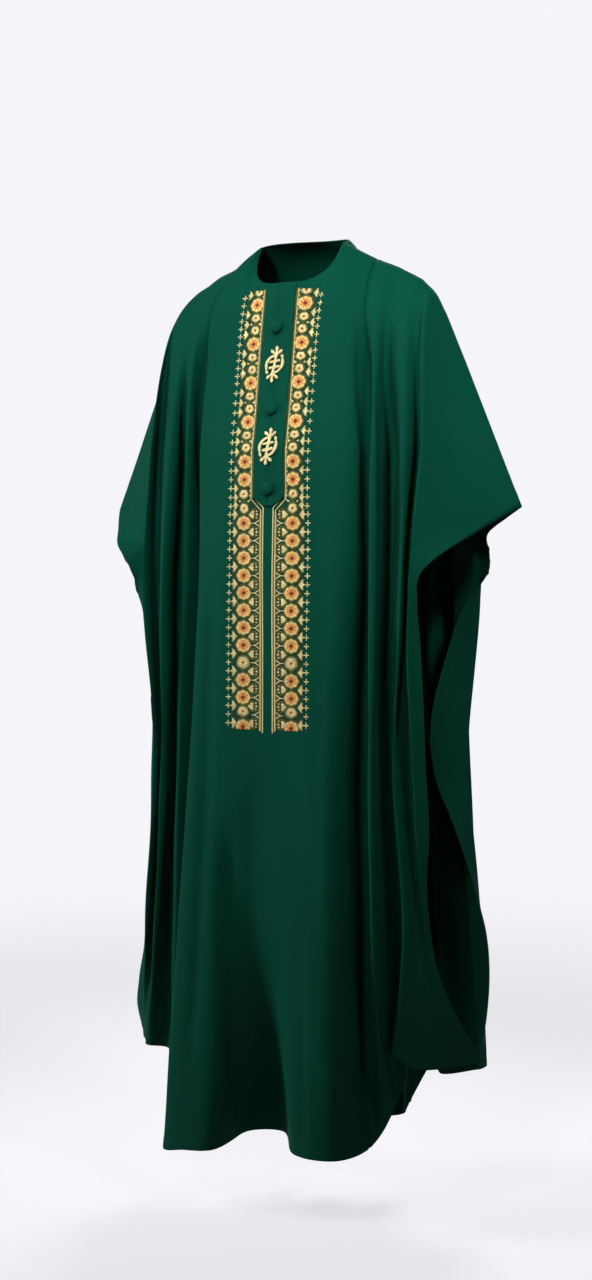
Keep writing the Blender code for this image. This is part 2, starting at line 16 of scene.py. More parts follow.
import bpy
import numpy as np
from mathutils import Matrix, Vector

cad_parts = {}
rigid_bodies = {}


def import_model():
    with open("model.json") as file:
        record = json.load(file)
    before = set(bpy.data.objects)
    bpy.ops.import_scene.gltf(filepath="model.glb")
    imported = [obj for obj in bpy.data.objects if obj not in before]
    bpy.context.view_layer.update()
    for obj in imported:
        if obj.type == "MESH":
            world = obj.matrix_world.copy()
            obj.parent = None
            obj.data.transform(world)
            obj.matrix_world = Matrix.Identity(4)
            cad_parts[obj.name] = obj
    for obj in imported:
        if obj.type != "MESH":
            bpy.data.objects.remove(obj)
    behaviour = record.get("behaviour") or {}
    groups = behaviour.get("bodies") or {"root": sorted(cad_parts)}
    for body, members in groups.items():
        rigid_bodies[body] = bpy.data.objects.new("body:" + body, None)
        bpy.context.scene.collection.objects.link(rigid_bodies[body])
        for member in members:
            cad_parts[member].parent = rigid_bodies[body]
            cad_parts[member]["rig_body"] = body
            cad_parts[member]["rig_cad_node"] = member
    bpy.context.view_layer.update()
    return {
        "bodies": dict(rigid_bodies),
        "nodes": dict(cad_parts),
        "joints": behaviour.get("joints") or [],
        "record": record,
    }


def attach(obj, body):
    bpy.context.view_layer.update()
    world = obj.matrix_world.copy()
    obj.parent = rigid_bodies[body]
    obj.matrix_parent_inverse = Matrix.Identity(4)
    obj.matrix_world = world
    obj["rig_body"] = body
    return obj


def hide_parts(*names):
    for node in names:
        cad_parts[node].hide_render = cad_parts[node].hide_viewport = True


LOG = logging.getLogger("robe")
MM = 0.001
TINY = 1e-9
SLACK = 1e-6
THREAD_LIFT = 0.0001
FAR = 1.0
HALF_TURN = 3.14
CHEST, ELBOW, HIP, KNEE = 1.230, 1.030, 0.740, 0.460
Colour = Tuple[float, float, float]
Point = Tuple[float, float]


class Fold(NamedTuple):
    """A fold line in mm: where it starts on the shoulder, how late it forms, and x and y at five heights.

    The hem's entry also has its height.
    """

    name: str
    along: float
    forms: float
    chest: tuple
    elbow: tuple
    hip: tuple
    knee: tuple
    hem: tuple


FRONT_FOLDS = (
    Fold("right_arm_top", -215, 1, (-238, -118), (-238, -140), (-226, -129), (-250, -115), (-304, -34, 246)),
    Fold("right_arm_valley", -205, 1, (-243, -82), (-238, -98), (-226, -92), (-247, -90), (-286, -56, 244)),
    Fold("right_pleat", -186, 2, (-196, -126), (-202, -140), (-213, -125), (-230, -118), (-264, -86, 243)),
    Fold("right_hollow", -168, 2, (-188, -84), (-206, -78), (-210, -74), (-224, -74), (-232, -76, 240)),
    Fold("right_inner", -146, 2, (-168, -118), (-172, -122), (-184, -120), (-192, -118), (-204, -104, 228)),
    Fold("right_seam", -122, 2, (-156, -88), (-150, -80), (-150, -74), (-158, -68), (-168, -74, 168)),
    Fold("right_crest", -98, 2, (-138, -124), (-133, -138), (-144, -150), (-161, -161), (-183, -172, 98)),
    Fold("right_panel", -74, 2, (-94, -140), (-92, -149), (-96, -156), (-108, -170), (-130, -196, 104)),
    Fold("right_lobe", -45, 2, (-50, -146), (-50, -151), (-52, -155), (-66, -164), (-80, -194, 109)),
    Fold("hollow_right", -15, 2, (-17, -148), (-17, -151), (-20, -152), (-38, -142), (-62, -92, 122)),
    Fold("hollow_left", 15, 2, (17, -148), (17, -151), (14, -152), (0, -148), (-8, -88, 126)),
    Fold("left_lobe", 45, 2, (50, -146), (50, -151), (48, -154), (50, -166), (66, -188, 118)),
    Fold("left_panel", 74, 2, (96, -142), (92, -149), (86, -156), (90, -174), (110, -206, 117)),
    Fold("left_crest", 98, 2, (141, -134), (134, -141), (116, -152), (126, -170), (150, -196, 118)),
    Fold("left_seam", 122, 2, (158, -108), (156, -94), (140, -82), (144, -84), (166, -120, 124)),
    Fold("left_inner", 146, 2, (179, -136), (180, -141), (181, -150), (186, -150), (184, -106, 152)),
    Fold("left_hollow", 168, 2, (186, -78), (182, -72), (180, -72), (198, -62), (197, -52, 236)),
    Fold("left_pleat", 186, 2, (228, -130), (230, -141), (216, -140), (232, -134), (206, -120, 276)),
    Fold("left_arm_valley", 205, 1, (236, -88), (233, -108), (226, -100), (246, -110), (238, -112, 256)),
    Fold("left_arm_top", 215, 1, (255, -122), (250, -156), (248, -137), (260, -112), (276, -70, 252)),
)

BACK_HALF = (
    Fold("back_centre", 0, 2, (0, 128), (0, 126), (0, 130), (0, 132), (0, 138, 116)),
    Fold("back_inner", 40, 2, (48, 122), (46, 112), (43, 107), (43, 104), (43, 102, 120)),
    Fold("back_panel", 74, 2, (98, 124), (90, 126), (86, 136), (88, 142), (90, 146, 116)),
    Fold("back_seam", 122, 2, (152, 92), (149, 82), (142, 84), (138, 90), (132, 96, 150)),
    Fold("back_pleat_in", 146, 2, (176, 122), (180, 130), (180, 132), (182, 130), (170, 112, 222)),
    Fold("back_hollow", 168, 2, (182, 72), (184, 66), (188, 64), (200, 64), (206, 66, 212)),
    Fold("back_pleat", 186, 2, (222, 112), (226, 116), (230, 118), (244, 116), (248, 100, 216)),
    Fold("back_arm_valley", 205, 1, (226, 66), (226, 64), (230, 64), (256, 66), (278, 64, 228)),
    Fold("back_arm_top", 215, 1, (246, 74), (262, 90), (258, 52), (286, 42), (301, 30, 241)),
)

# Free edges of the sleeves and the open sides: height, x and y in mm, from the sleeve's tip to the hem.
FRONT_RIGHT_EDGE = (
    (1139, -371, 3), (1106, -327, -72), (1074, -283, -146), (1055, -268, -150), (1035, -257, -147),
    (1010, -255, -134), (980, -252, -120), (907, -249, -112), (780, -241, -106), (691, -244, -104),
    (611, -250, -100), (461, -262, -96), (405, -276, -78), (345, -303, -48), (297, -325, -20),
    (270, -328, -6), (247, -320, -6))
FRONT_LEFT_EDGE = (
    (1139, 371, 3), (1100, 325, -62), (1056, 282, -132), (1030, 263, -148), (1000, 260, -146),
    (928, 260, -136), (860, 262, -132), (786, 262, -124), (740, 261, -118), (630, 265, -112),
    (545, 259, -108), (503, 260, -104), (401, 273, -88), (338, 288, -60), (290, 300, -25),
    (273, 304, -6), (253, 304, -6))
BACK_LEFT_EDGE = (
    (1139, 371, 3), (1120, 328, 36), (1100, 288, 62), (1062, 280, 84), (1035, 276, 88),
    (990, 258, 46), (900, 246, -10), (770, 242, -60), (704, 248, -50), (645, 264, -30), (516, 293, 6),
    (466, 307, 8), (405, 315, 8), (351, 315, 6), (301, 310, 0), (273, 304, -6), (253, 304, -6))


class Facing(Enum):
    """Which way a sheet of the robe faces."""

    FRONT = -1
    BACK = 1


@dataclass(frozen=True)
class Cut:
    """Driving sizes of the robe."""

    support: float = 1.500
    cloth: float = 0.0016
    seam_gap: float = 0.0003
    neck_half_width: float = 0.074
    neck_half_depth: float = 0.072
    neck_centre_y: float = -0.033
    neck_front: float = 1.497
    neck_side: float = 1.565
    neck_back: float = 1.578
    neck_rise: float = 1.5
    shoulder: tuple = ((.074, -.033, 1.565), (.122, -.010, 1.538), (.160, -.008, 1.524), (.200, -.006, 1.503),
                       (.225, -.005, 1.478), (.243, -.004, 1.446), (.275, -.002, 1.372), (.371, .003, 1.139))
    crown_drop: float = 0.075
    crown_power: float = 0.8
    crown_front_y: float = -0.118
    crown_back_y: float = 0.112
    arm_front_y: float = -0.085
    arm_back_y: float = 0.042
    arm_starts: float = 0.160
    arm_whole: float = 0.215
    crown_fade: float = 24.0
    face_neck: float = 1.035


CUT = Cut()


def mix(a: np.ndarray, b: np.ndarray, t: np.ndarray) -> np.ndarray:
    """Blend two values.

    Args:
        a: value at t = 0.
        b: value at t = 1.
        t: share of b.

    Returns:
        The blend.
    """
    return a + (b - a) * t


def smooth_curve(knots: np.ndarray, values: np.ndarray, at: np.ndarray) -> np.ndarray:
    """Read a smooth curve through points.

    Args:
        knots: rising places of the points.
        values: one row of numbers for each point.
        at: places to read.

    Returns:
        One row of numbers for each place.
    """
    steps = np.diff(knots)
    rises = np.diff(values, axis=0) / steps[:, None]
    slopes = np.empty_like(values)
    slopes[0], slopes[-1] = rises[0], rises[-1]
    weight = (steps[:-1] + steps[1:])[:, None]
    slopes[1:-1] = (rises[:-1] * steps[1:, None] + rises[1:] * steps[:-1, None]) / weight
    at = np.clip(at, knots[0], knots[-1])
    k = np.clip(np.searchsorted(knots, at, side="left") - 1, 0, len(knots) - 2)
    width = steps[k][:, None]
    t = (at - knots[k])[:, None] / width
    t2, t3 = t * t, t * t * t
    return (values[k] * (2 * t3 - 3 * t2 + 1) + slopes[k] * width * (t3 - 2 * t2 + t)
            + values[k + 1] * (3 * t2 - 2 * t3) + slopes[k + 1] * width * (t3 - t2))


def unit(vectors: np.ndarray) -> np.ndarray:
    """Scale vectors to length 1."""
    return vectors / np.maximum(np.linalg.norm(vectors, axis=-1, keepdims=True), TINY * MM)


def bump(distance: np.ndarray, width: float) -> np.ndarray:
    """Draw a soft hump of height 1 that fades out at about twice its width."""
    return np.exp(-(distance / width) ** 2)


def ramp(value: np.ndarray, start: float, end: float) -> np.ndarray:
    """Rise smoothly from 0 at start to 1 at end."""
    t = np.clip((value - start) / (end - start), 0.0, 1.0)
    return t * t * (3 - 2 * t)


def lengths(points: np.ndarray, axis: int) -> np.ndarray:
    """Add up the lengths along one axis of a grid of points.

    Args:
        points: columns by rows by 3.
        axis: 0 along the rows, 1 down the columns.

    Returns:
        The running length at each point.
    """
    run = np.cumsum(np.linalg.norm(np.diff(points, axis=axis), axis=2), axis=axis)
    start = np.zeros_like(run[:1]) if axis == 0 else np.zeros_like(run[:, :1])
    return np.concatenate([start, run], axis=axis)


class Crease(NamedTuple):
    """A soft fold pressed into a sheet: places count fold lines, heights in m, width and depth in mm."""

    top_place: float
    bottom_place: float
    top: float
    bottom: float
    width: float
    depth: float


@dataclass
class Drape:
    """The front or the back of the robe, hung from the shoulders as one sheet.

    Positions along the sheet count its fold lines, with 0 on the wearer's right sleeve edge.
    """

    facing: Facing
    folds: Sequence[Fold]
    right_edge: tuple
    left_edge: tuple
    creases: Sequence[Crease] = ()
    seed: int = 7
    crease_end: float = 0.12
    crease_end_share: float = 0.35
    waves: int = 9
    wave_across: Tuple[float, float] = (9, 26)
    wave_down: Tuple[float, float] = (2, 9)
    wave_size: Tuple[float, float] = (0.15, 0.4)

    @property
    def lines(self) -> int:
        """Count the fold lines with both sleeve edges."""
        return len(self.folds) + 2

    def shoulder(self, x: np.ndarray) -> np.ndarray:
        """Find points on the shoulder line.

        Args:
            x: distances to the wearer's left.

        Returns:
            One point for each distance.
        """
        line = np.array(CUT.shoulder)
        reach = np.abs(x)
        return np.stack([x, np.interp(reach, line[:, 0], line[:, 1]),
                         np.interp(reach, line[:, 0], line[:, 2])], axis=-1)

    def top(self, x: np.ndarray) -> np.ndarray:
        """Find where the cloth starts: on the neckline or on the shoulder line.

        Args:
            x: distances to the wearer's left.

        Returns:
            One point for each distance.
        """
        x = np.asarray(x, float)
        depth = np.sqrt(np.clip(1 - (x / CUT.neck_half_width) ** 2, 0, 1))
        front = self.facing is Facing.FRONT
        rise = (1 - depth) ** CUT.neck_rise
        neck = np.stack([x, CUT.neck_centre_y + self.facing.value * CUT.neck_half_depth * depth,
                         mix(CUT.neck_front if front else CUT.neck_back, CUT.neck_side, rise)], axis=-1)
        inside = (np.abs(x) < CUT.neck_half_width - TINY)[..., None]
        return np.where(inside, neck, self.shoulder(x))

    def crown_y(self, reach: float) -> float:
        """Find how far forward or back the smooth cloth lies below the shoulder line.

        Args:
            reach: distance from the centre.

        Returns:
            Its y.
        """
        front = self.facing is Facing.FRONT
        body, arm = (CUT.crown_front_y, CUT.arm_front_y) if front else (CUT.crown_back_y, CUT.arm_back_y)
        share = (reach - CUT.arm_starts) / (CUT.arm_whole - CUT.arm_starts)
        return float(mix(body, arm, min(max(share, 0), 1)))

    def fold_at(self, fold: Fold, heights: np.ndarray) -> np.ndarray:
        """Find a fold line's points at heights.

        Args:
            fold: the fold line.
            heights: heights above the wearer's floor.

        Returns:
            One point for each height.
        """
        top = self.top(fold.along * MM)
        levels = ((CHEST, fold.chest), (ELBOW, fold.elbow), (HIP, fold.hip), (KNEE, fold.knee),
                  (fold.hem[2] * MM, fold.hem))
        knots = np.array([-level for level, _ in levels])
        values = np.array([[place[0] * MM, place[1] * MM] for _, place in levels])
        low = smooth_curve(knots, values, -heights)
        drop = np.clip(top[2] - heights, 0, None)
        share = np.clip(drop / (top[2] - CHEST), 0, 1)
        turned = (1 - np.exp(-drop / CUT.crown_drop)) ** CUT.crown_power
        smooth_y = mix(top[1], self.crown_y(abs(top[0])), turned)
        high_y = mix(smooth_y, fold.chest[1] * MM, share ** fold.forms)
        high_x = mix(top[0], fold.chest[0] * MM, np.sqrt(share))
        above = heights > CHEST
        x, y = np.where(above, high_x, low[:, 0]), np.where(above, high_y, low[:, 1])
        return np.stack([x, y, heights], axis=-1)

    def outer_at(self, edge: tuple, heights: np.ndarray) -> np.ndarray:
        """Find where a sleeve face ends: on the shoulder line, or lower on the free edge.

        Args:
            edge: the free edge.
            heights: heights above the wearer's floor.

        Returns:
            One point for each height.
        """
        side = math.copysign(1.0, edge[0][1])
        line, rows = np.array(CUT.shoulder), np.array(edge, float) * MM
        high_x = side * np.interp(-heights, -line[:, 2], line[:, 0])
        high_y = np.interp(-heights, -line[:, 2], line[:, 1])
        low = smooth_curve(-rows[:, 0], rows[:, 1:], -heights)
        above = heights > line[-1, 2]
        x, y = np.where(above, high_x, low[:, 0]), np.where(above, high_y, low[:, 1])
        return np.stack([x, y, heights], axis=-1)

    def face_column(self, place: float, downs: np.ndarray) -> np.ndarray:
        """Find a column of a sleeve face, whose level lines run straight from the arm crest to the edge.

        Args:
            place: the column, as a count of fold lines.
            downs: rows, from 0 at the shoulder to 1 at the hem.

        Returns:
            Points that turn in with the free edge as far as the sleeve's neck, and keep their share below it.
        """
        if place < 1:
            crest, edge, out = self.folds[0], self.right_edge, 1 - place
        else:
            crest, edge, out = self.folds[-1], self.left_edge, place - (self.lines - 2)
        start = self.shoulder(np.array(mix(crest.along * MM, edge[0][1] * MM, out)))
        top, crest_hem = start[2], crest.hem[2] * MM
        heights = mix(top, mix(crest_hem, edge[-1][0] * MM, out), downs)
        inner = self.fold_at(crest, np.maximum(heights, crest_hem))
        outer = self.outer_at(edge, heights)

        def reach(at: np.ndarray) -> np.ndarray:
            """Measure the level lines from the crest to the outer end."""
            return np.linalg.norm(self.outer_at(edge, at) - self.fold_at(crest, at), axis=1)

        tip, neck = edge[0][0] * MM, CUT.face_neck
        turned = np.clip((top - heights) / (top - neck), 0, 1)
        widest, narrowest, start_reach = reach(np.array([tip, neck, top]))
        profile = (reach(tip - turned * (tip - neck)) - narrowest) / (widest - narrowest)
        drawn_in = out * narrowest + (start_reach - out * narrowest) * profile
        whole = np.maximum(np.linalg.norm(outer - inner, axis=1), TINY)
        share = np.where(heights > neck, np.clip(drawn_in / whole, 0, 1), out)
        share[0] = 1
        found = mix(inner, outer, share[:, None])
        found[:, 2] = heights
        return found

    def starts(self, places: np.ndarray) -> np.ndarray:
        """Find where the cloth starts, with even steps round the neckline.

        Args:
            places: columns, as counts of fold lines.

        Returns:
            One point for each column.
        """
        alongs = np.array([math.copysign(CUT.shoulder[-1][0], self.right_edge[0][1])]
                          + [fold.along * MM for fold in self.folds]
                          + [math.copysign(CUT.shoulder[-1][0], self.left_edge[0][1])])
        i = np.clip(places.astype(int), 0, self.lines - 2)
        a, b, t = alongs[i], alongs[i + 1], places - i
        neck = CUT.neck_half_width
        turn = mix(np.arcsin(np.clip(a / neck, -1, 1)), np.arcsin(np.clip(b / neck, -1, 1)), t)
        inside = np.maximum(np.abs(a), np.abs(b)) <= neck + TINY
        return self.top(np.where(inside, neck * np.sin(turn), mix(a, b, t)))

    def middle(self, places: np.ndarray, downs: np.ndarray) -> np.ndarray:
        """Find the sheet's middle surface, before its small creases.

        Args:
            places: columns, as counts of fold lines.
            downs: rows, from 0 at the shoulder to 1 at the hem.

        Returns:
            Points as an array of columns by rows by 3, in the robe's frame.
        """
        points = np.empty((len(places), len(downs), 3))
        body = (places >= 1) & (places <= self.lines - 2)
        for c in np.nonzero(~body)[0]:
            points[c] = self.face_column(places[c], downs)
        if body.any():
            lines = []
            for fold in self.folds:
                top = self.top(np.array(fold.along * MM))[2]
                lines.append(self.fold_at(fold, mix(top, fold.hem[2] * MM, downs)))
            lines = np.array(lines)
            drawn = [self.across(lines[:, j], places[body]) for j in range(len(downs))]
            lead = self.starts(places[body]) - self.across(self.line_tops(), places[body])
            fade = np.exp(-CUT.crown_fade * downs)
            for j in range(len(downs)):
                points[body, j] = drawn[j] + lead * fade[j]
        points[:, :, 2] -= CUT.support
        return points

    def line_tops(self) -> np.ndarray:
        """Find where the fold lines leave the shoulder."""
        return np.array([self.top(np.array(fold.along * MM)) for fold in self.folds])

    def across(self, line_points: np.ndarray, places: np.ndarray) -> np.ndarray:
        """Draw a row of the sheet through its fold lines.

        Args:
            line_points: one point of each fold line.
            places: columns, as counts of fold lines.

        Returns:
            One point for each column.
        """
        steps = np.sqrt(np.maximum(np.linalg.norm(np.diff(line_points, axis=0), axis=1), TINY))
        knots = np.concatenate([[0.0], np.cumsum(steps)])
        k = np.clip(places.astype(int) - 1, 0, len(knots) - 2)
        return smooth_curve(knots, line_points, mix(knots[k], knots[k + 1], places - 1 - k))

    def normals(self, points: np.ndarray) -> np.ndarray:
        """Find the outward directions of a grid of the sheet's points.

        Args:
            points: columns by rows by 3.

        Returns:
            Directions of length 1, which on the shoulder line point up.
        """
        across = np.gradient(points, axis=0)
        down = np.gradient(points, axis=1)
        out = unit(np.cross(unit(across), unit(down)) * self.facing.value)
        ridge = np.abs(points[:, 0, 0]) >= CUT.neck_half_width - SLACK
        along = unit(across[:, 0])
        up = np.array([0.0, 0.0, 1.0])
        out[ridge, 0] = unit(up - along * along[:, 2:3])[ridge]
        return out

    def place_offsets(self, places: np.ndarray, points: np.ndarray) -> np.ndarray:
        """Find how far the small creases and the cloth's unevenness move the surface along its normal.

        Args:
            places: columns, as counts of fold lines.
            points: the sheet's points, columns by rows by 3.

        Returns:
            One distance for each point.
        """
        heights = points[:, :, 2] + CUT.support
        run = lengths(points, 0)
        moved = np.zeros(heights.shape)
        for crease in self.creases:
            tall = crease.top - crease.bottom
            share = np.clip((heights - crease.bottom) / tall, 0, 1)
            centre_place = mix(crease.bottom_place, crease.top_place, share)
            centre = np.empty(heights.shape)
            for j in range(heights.shape[1]):
                centre[:, j] = np.interp(centre_place[:, j], places, run[:, j],
                                         left=-FAR, right=run[-1, j] + FAR)
            reach = min(self.crease_end, self.crease_end_share * tall)
            live = (ramp(heights, crease.bottom, crease.bottom + reach)
                    * (1 - ramp(heights, crease.top - reach, crease.top)))
            moved += crease.depth * MM * bump(run - centre, crease.width * MM) * live
        rng = np.random.default_rng(self.seed)
        for _ in range(self.waves):
            turns_across, turns_down = rng.uniform(*self.wave_across), rng.uniform(*self.wave_down)
            phase, size = rng.uniform(0, 2 * math.pi), rng.uniform(*self.wave_size) * MM
            turns = points[:, :, 0] * turns_across + heights * turns_down
            moved += size * np.sin(HALF_TURN * turns + phase)
        return moved


def mirrored(fold: Fold) -> Fold:
    """Mirror a fold line to the wearer's other side."""
    places = [(-place[0],) + tuple(place[1:]) for place in fold[3:]]
    return Fold(fold.name + "_right", -fold.along, fold.forms, *places)


class Wire:
    """A number inside a shader, with the usual arithmetic."""

    def __init__(self, tree: bpy.types.NodeTree, socket: bpy.types.NodeSocket) -> None:
        """Keep the node tree and the socket that gives the number."""
        self.tree, self.socket = tree, socket

    def _sum(self, operation: str, first: object, second: object) -> "Wire":
        """Add a Math node.

        Args:
            operation: the node's operation.
            first: a number or a Wire.
            second: a number or a Wire.

        Returns:
            The result as a Wire.
        """
        node = self.tree.nodes.new("ShaderNodeMath")
        node.operation = operation
        for socket, value in zip(node.inputs, (first, second)):
            if isinstance(value, Wire):
                self.tree.links.new(value.socket, socket)
            else:
                socket.default_value = float(value)
        return Wire(self.tree, node.outputs[0])

    def __add__(self, other: object) -> "Wire":
        """Add other."""
        return self._sum("ADD", self, other)

    def __mul__(self, other: object) -> "Wire":
        """Multiply by other."""
        return self._sum("MULTIPLY", self, other)

    def __rsub__(self, other: object) -> "Wire":
        """Take this from other."""
        return self._sum("SUBTRACT", other, self)

    def __pow__(self, other: object) -> "Wire":
        """Raise to the power of other."""
        return self._sum("POWER", self, other)

    def wave(self, length: float) -> "Wire":
        """Make a sine between 0 and 1 that repeats once in a length."""
        return self._sum("SINE", self * (2 * math.pi / length), 0.0) * 0.5 + 0.5


class Shading:
    """A material under construction."""

    def __init__(self, name: str, roughness: float, sheen: float = 0.0, sheen_roughness: float = 0.5,
                 sheen_tint: Colour = (1, 1, 1), specular: float = 0.3) -> None:
        """Start a material whose even values are set on the shader itself.

        Args:
            name: the material's name.
            roughness: roughness of its surface.
            sheen: strength of the sheen.
            sheen_roughness: how wide the sheen spreads.
            sheen_tint: the sheen's colour.
            specular: strength of its shine.
        """
        self.material = bpy.data.materials.new(name)
        self.material.use_nodes = True
        self.tree = self.material.node_tree
        self.shader = self.tree.nodes["Principled BSDF"]
        for socket, value in (("Roughness", roughness), ("Sheen Weight", sheen), ("Metallic", 0.0),
                              ("Sheen Roughness", sheen_roughness), ("Specular IOR Level", specular)):
            self.shader.inputs[socket].default_value = value
        self.shader.inputs["Sheen Tint"].default_value = (*sheen_tint, 1.0)

    def node(self, kind: str, settings: Dict[str, object], inputs: Dict[str, object]) -> bpy.types.Node:
        """Add any node but a Math node.

        Args:
            kind: the node's type.
            settings: its properties, set first.
            inputs: values, Wires or sockets for its input sockets, by name or number.

        Returns:
            The node.
        """
        made = self.tree.nodes.new(kind)
        for name, value in settings.items():
            setattr(made, name, value)
        for name, value in inputs.items():
            socket = made.inputs[name]
            if isinstance(value, Wire):
                self.tree.links.new(value.socket, socket)
            elif isinstance(value, bpy.types.NodeSocket):
                self.tree.links.new(value, socket)
            else:
                socket.default_value = value
        return made

    def coordinates(self, output: str) -> bpy.types.NodeSocket:
        """Read the piece's own coordinates: "Object" or "UV"."""
        return self.node("ShaderNodeTexCoord", {}, {}).outputs[output]

    def parts(self, vector: bpy.types.NodeSocket) -> Tuple[Wire, Wire, Wire]:
        """Split a vector into its three numbers."""
        split = self.node("ShaderNodeSeparateXYZ", {}, {0: vector})
        return tuple(Wire(self.tree, out) for out in split.outputs)

    def noise(self, vector: bpy.types.NodeSocket, scale: float, detail: float = 3.0,
              stretch: Tuple[float, float, float] = (1, 1, 1)) -> Wire:
        """Make soft noise between 0 and 1.

        Args:
            vector: the coordinates it is laid on.
            scale: how fine it is.
            detail: how many finer layers it has.
            stretch: how it is squeezed along each axis.

        Returns:
            The noise as a Wire.
        """
        placed = self.node("ShaderNodeMapping", {}, {"Vector": vector, "Scale": stretch})
        made = self.node("ShaderNodeTexNoise", {},
                         {"Vector": placed.outputs[0], "Scale": scale, "Detail": detail})
        return Wire(self.tree, made.outputs["Fac"])

    def attribute(self, name: str) -> Wire:
        """Read a number that the mesh carries."""
        return Wire(self.tree, self.node("ShaderNodeAttribute", {"attribute_name": name}, {}).outputs["Fac"])

    def blend(self, share: Wire, low: Colour, high: Colour) -> bpy.types.NodeSocket:
        """Mix a colour between two colours."""
        made = self.node("ShaderNodeMix", {"data_type": "RGBA"}, {0: share, 6: (*low, 1), 7: (*high, 1)})
        return made.outputs[2]

    def colour(self, socket: bpy.types.NodeSocket) -> None:
        """Send a colour to the shader."""
        self.tree.links.new(socket, self.shader.inputs["Base Color"])

    def roughness(self, wire: Wire) -> None:
        """Send a varying roughness to the shader."""
        self.tree.links.new(wire.socket, self.shader.inputs["Roughness"])

    def relief(self, *layers: Tuple[Wire, float, float]) -> None:
        """Stack bump layers.

        Args:
            layers: for each layer its height, strength and distance in metres.
        """
        normal = None
        for height, strength, distance in layers:
            inputs = {"Height": height, "Strength": strength, "Distance": distance}
            if normal is not None:
                inputs["Normal"] = normal
            normal = self.node("ShaderNodeBump", {}, inputs).outputs[0]
        self.tree.links.new(normal, self.shader.inputs["Normal"])


@dataclass(frozen=True)
class ClothFinish:
    """A smooth deep green woven cloth with a soft sheen."""

    name: str = "green_cloth"
    deep: Colour = (0.0009, 0.052, 0.031)
    light: Colour = (0.0016, 0.070, 0.043)
    thread: float = 0.00062
    roughness: float = 0.80
    sheen: float = 0.03
    sheen_roughness: float = 0.40
    sheen_tint: Colour = (0.15, 0.9, 0.6)
    specular: float = 0.035
    slub_scale: float = 60.0
    slub_stretch: float = 14.0
    cloud_scale: float = 7.0
    rumple_scale: float = 22.0
    slub_tone: float = 0.5
    cloud_tone: float = 0.35
    weave_tone: float = 0.15
    cloud_rough: float = 0.10
    slub_rough: float = 0.08
    least_rough: float = -0.09
    rumple_relief: Tuple[float, float] = (0.25, 0.0022)
    slub_relief: Tuple[float, float] = (0.16, 0.0004)
    weave_relief: Tuple[float, float] = (0.22, 0.00018)

    def build(self) -> bpy.types.Material:
        """Make the material: a plain weave with uneven threads, faint clouds of tone and small rumples.

        Returns:
            The material.
        """
        shading = Shading(self.name, self.roughness, self.sheen, self.sheen_roughness, self.sheen_tint,
                          self.specular)
        uv, space = shading.coordinates("UV"), shading.coordinates("Object")
        across, down, _ = shading.parts(uv)
        warp, weft = across.wave(self.thread), down.wave(self.thread)
        weave = warp * weft + (1 - warp) * (1 - weft)
        slub = (shading.noise(uv, self.slub_scale, 2.0, (1.0, self.slub_stretch, 1.0)) * 0.5
                + shading.noise(uv, self.slub_scale, 2.0, (self.slub_stretch, 1.0, 1.0)) * 0.5)
        cloud = shading.noise(space, self.cloud_scale, 3.0)
        rumple = shading.noise(space, self.rumple_scale, 4.0)
        tone = slub * self.slub_tone + cloud * self.cloud_tone + weave * self.weave_tone
        shading.colour(shading.blend(tone, self.deep, self.light))
        least = self.roughness + self.least_rough
        shading.roughness(cloud * self.cloud_rough + slub * self.slub_rough + least)
        shading.relief((rumple, *self.rumple_relief), (slub, *self.slub_relief), (weave, *self.weave_relief))
        return shading.material


class Thread(Enum):
    """Embroidery threads: their darker and lighter colours."""

    IVORY = ((0.74, 0.63, 0.30), (1.0, 0.90, 0.50))
    GOLD = ((0.80, 0.46, 0.12), (1.0, 0.68, 0.24))
    AMBER = ((0.50, 0.12, 0.010), (0.75, 0.23, 0.025))
    DARK_RED = ((0.12, 0.010, 0.002), (0.22, 0.025, 0.005))
    OLIVE = ((0.085, 0.098, 0.005), (0.165, 0.172, 0.012))
    MOSS = ((0.010, 0.028, 0.004), (0.024, 0.050, 0.008))
    GREEN = ((0.0008, 0.040, 0.022), (0.0014, 0.062, 0.034))


@dataclass(frozen=True)
class ThreadFinish:
    """Lustrous twisted embroidery thread of one colour."""

    thread: Thread
    roughness: float = 0.42
    sheen: float = 0.10
    sheen_roughness: float = 0.3
    specular: float = 0.30
    fibre_scale: float = 2600.0
    stitch_tone: float = 0.75
    fibre_tone: float = 0.25
    fibre_rough: float = 0.2
    least_rough: float = 0.34
    fibre_relief: Tuple[float, float] = (0.3, 0.0001)

    def build(self) -> bpy.types.Material:
        """Make the material; each stitch has its own tone, from the attribute that its mesh carries.

        Returns:
            The material.
        """
        shading = Shading("thread_" + self.thread.name.lower(), self.roughness, self.sheen,
                          self.sheen_roughness, specular=self.specular)
        tone = shading.attribute("tone")
        fibre = shading.noise(shading.coordinates("Object"), self.fibre_scale, 2.0)
        share = tone * self.stitch_tone + fibre * self.fibre_tone
        shading.colour(shading.blend(share, *self.thread.value))
        shading.roughness(fibre * self.fibre_rough + self.least_rough)
        shading.relief((fibre, *self.fibre_relief))
        return shading.material


class Finishes:
    """Makes each material once."""

    def __init__(self) -> None:
        """Start with none."""
        self.made: Dict[object, bpy.types.Material] = {}

    def get(self, recipe: object) -> bpy.types.Material:
        """Find or make the material of a recipe.

        Args:
            recipe: the finish.

        Returns:
            The material.
        """
        if recipe not in self.made:
            self.made[recipe] = recipe.build()
        return self.made[recipe]


def deselect() -> None:
    """Clear the selection."""
    for thing in bpy.context.selected_objects:
        thing.select_set(False)


def select(thing: bpy.types.Object) -> None:
    """Make an object the only one selected, and active.

    Args:
        thing: the object.
    """
    deselect()
    thing.select_set(True)
    bpy.context.view_layer.objects.active = thing


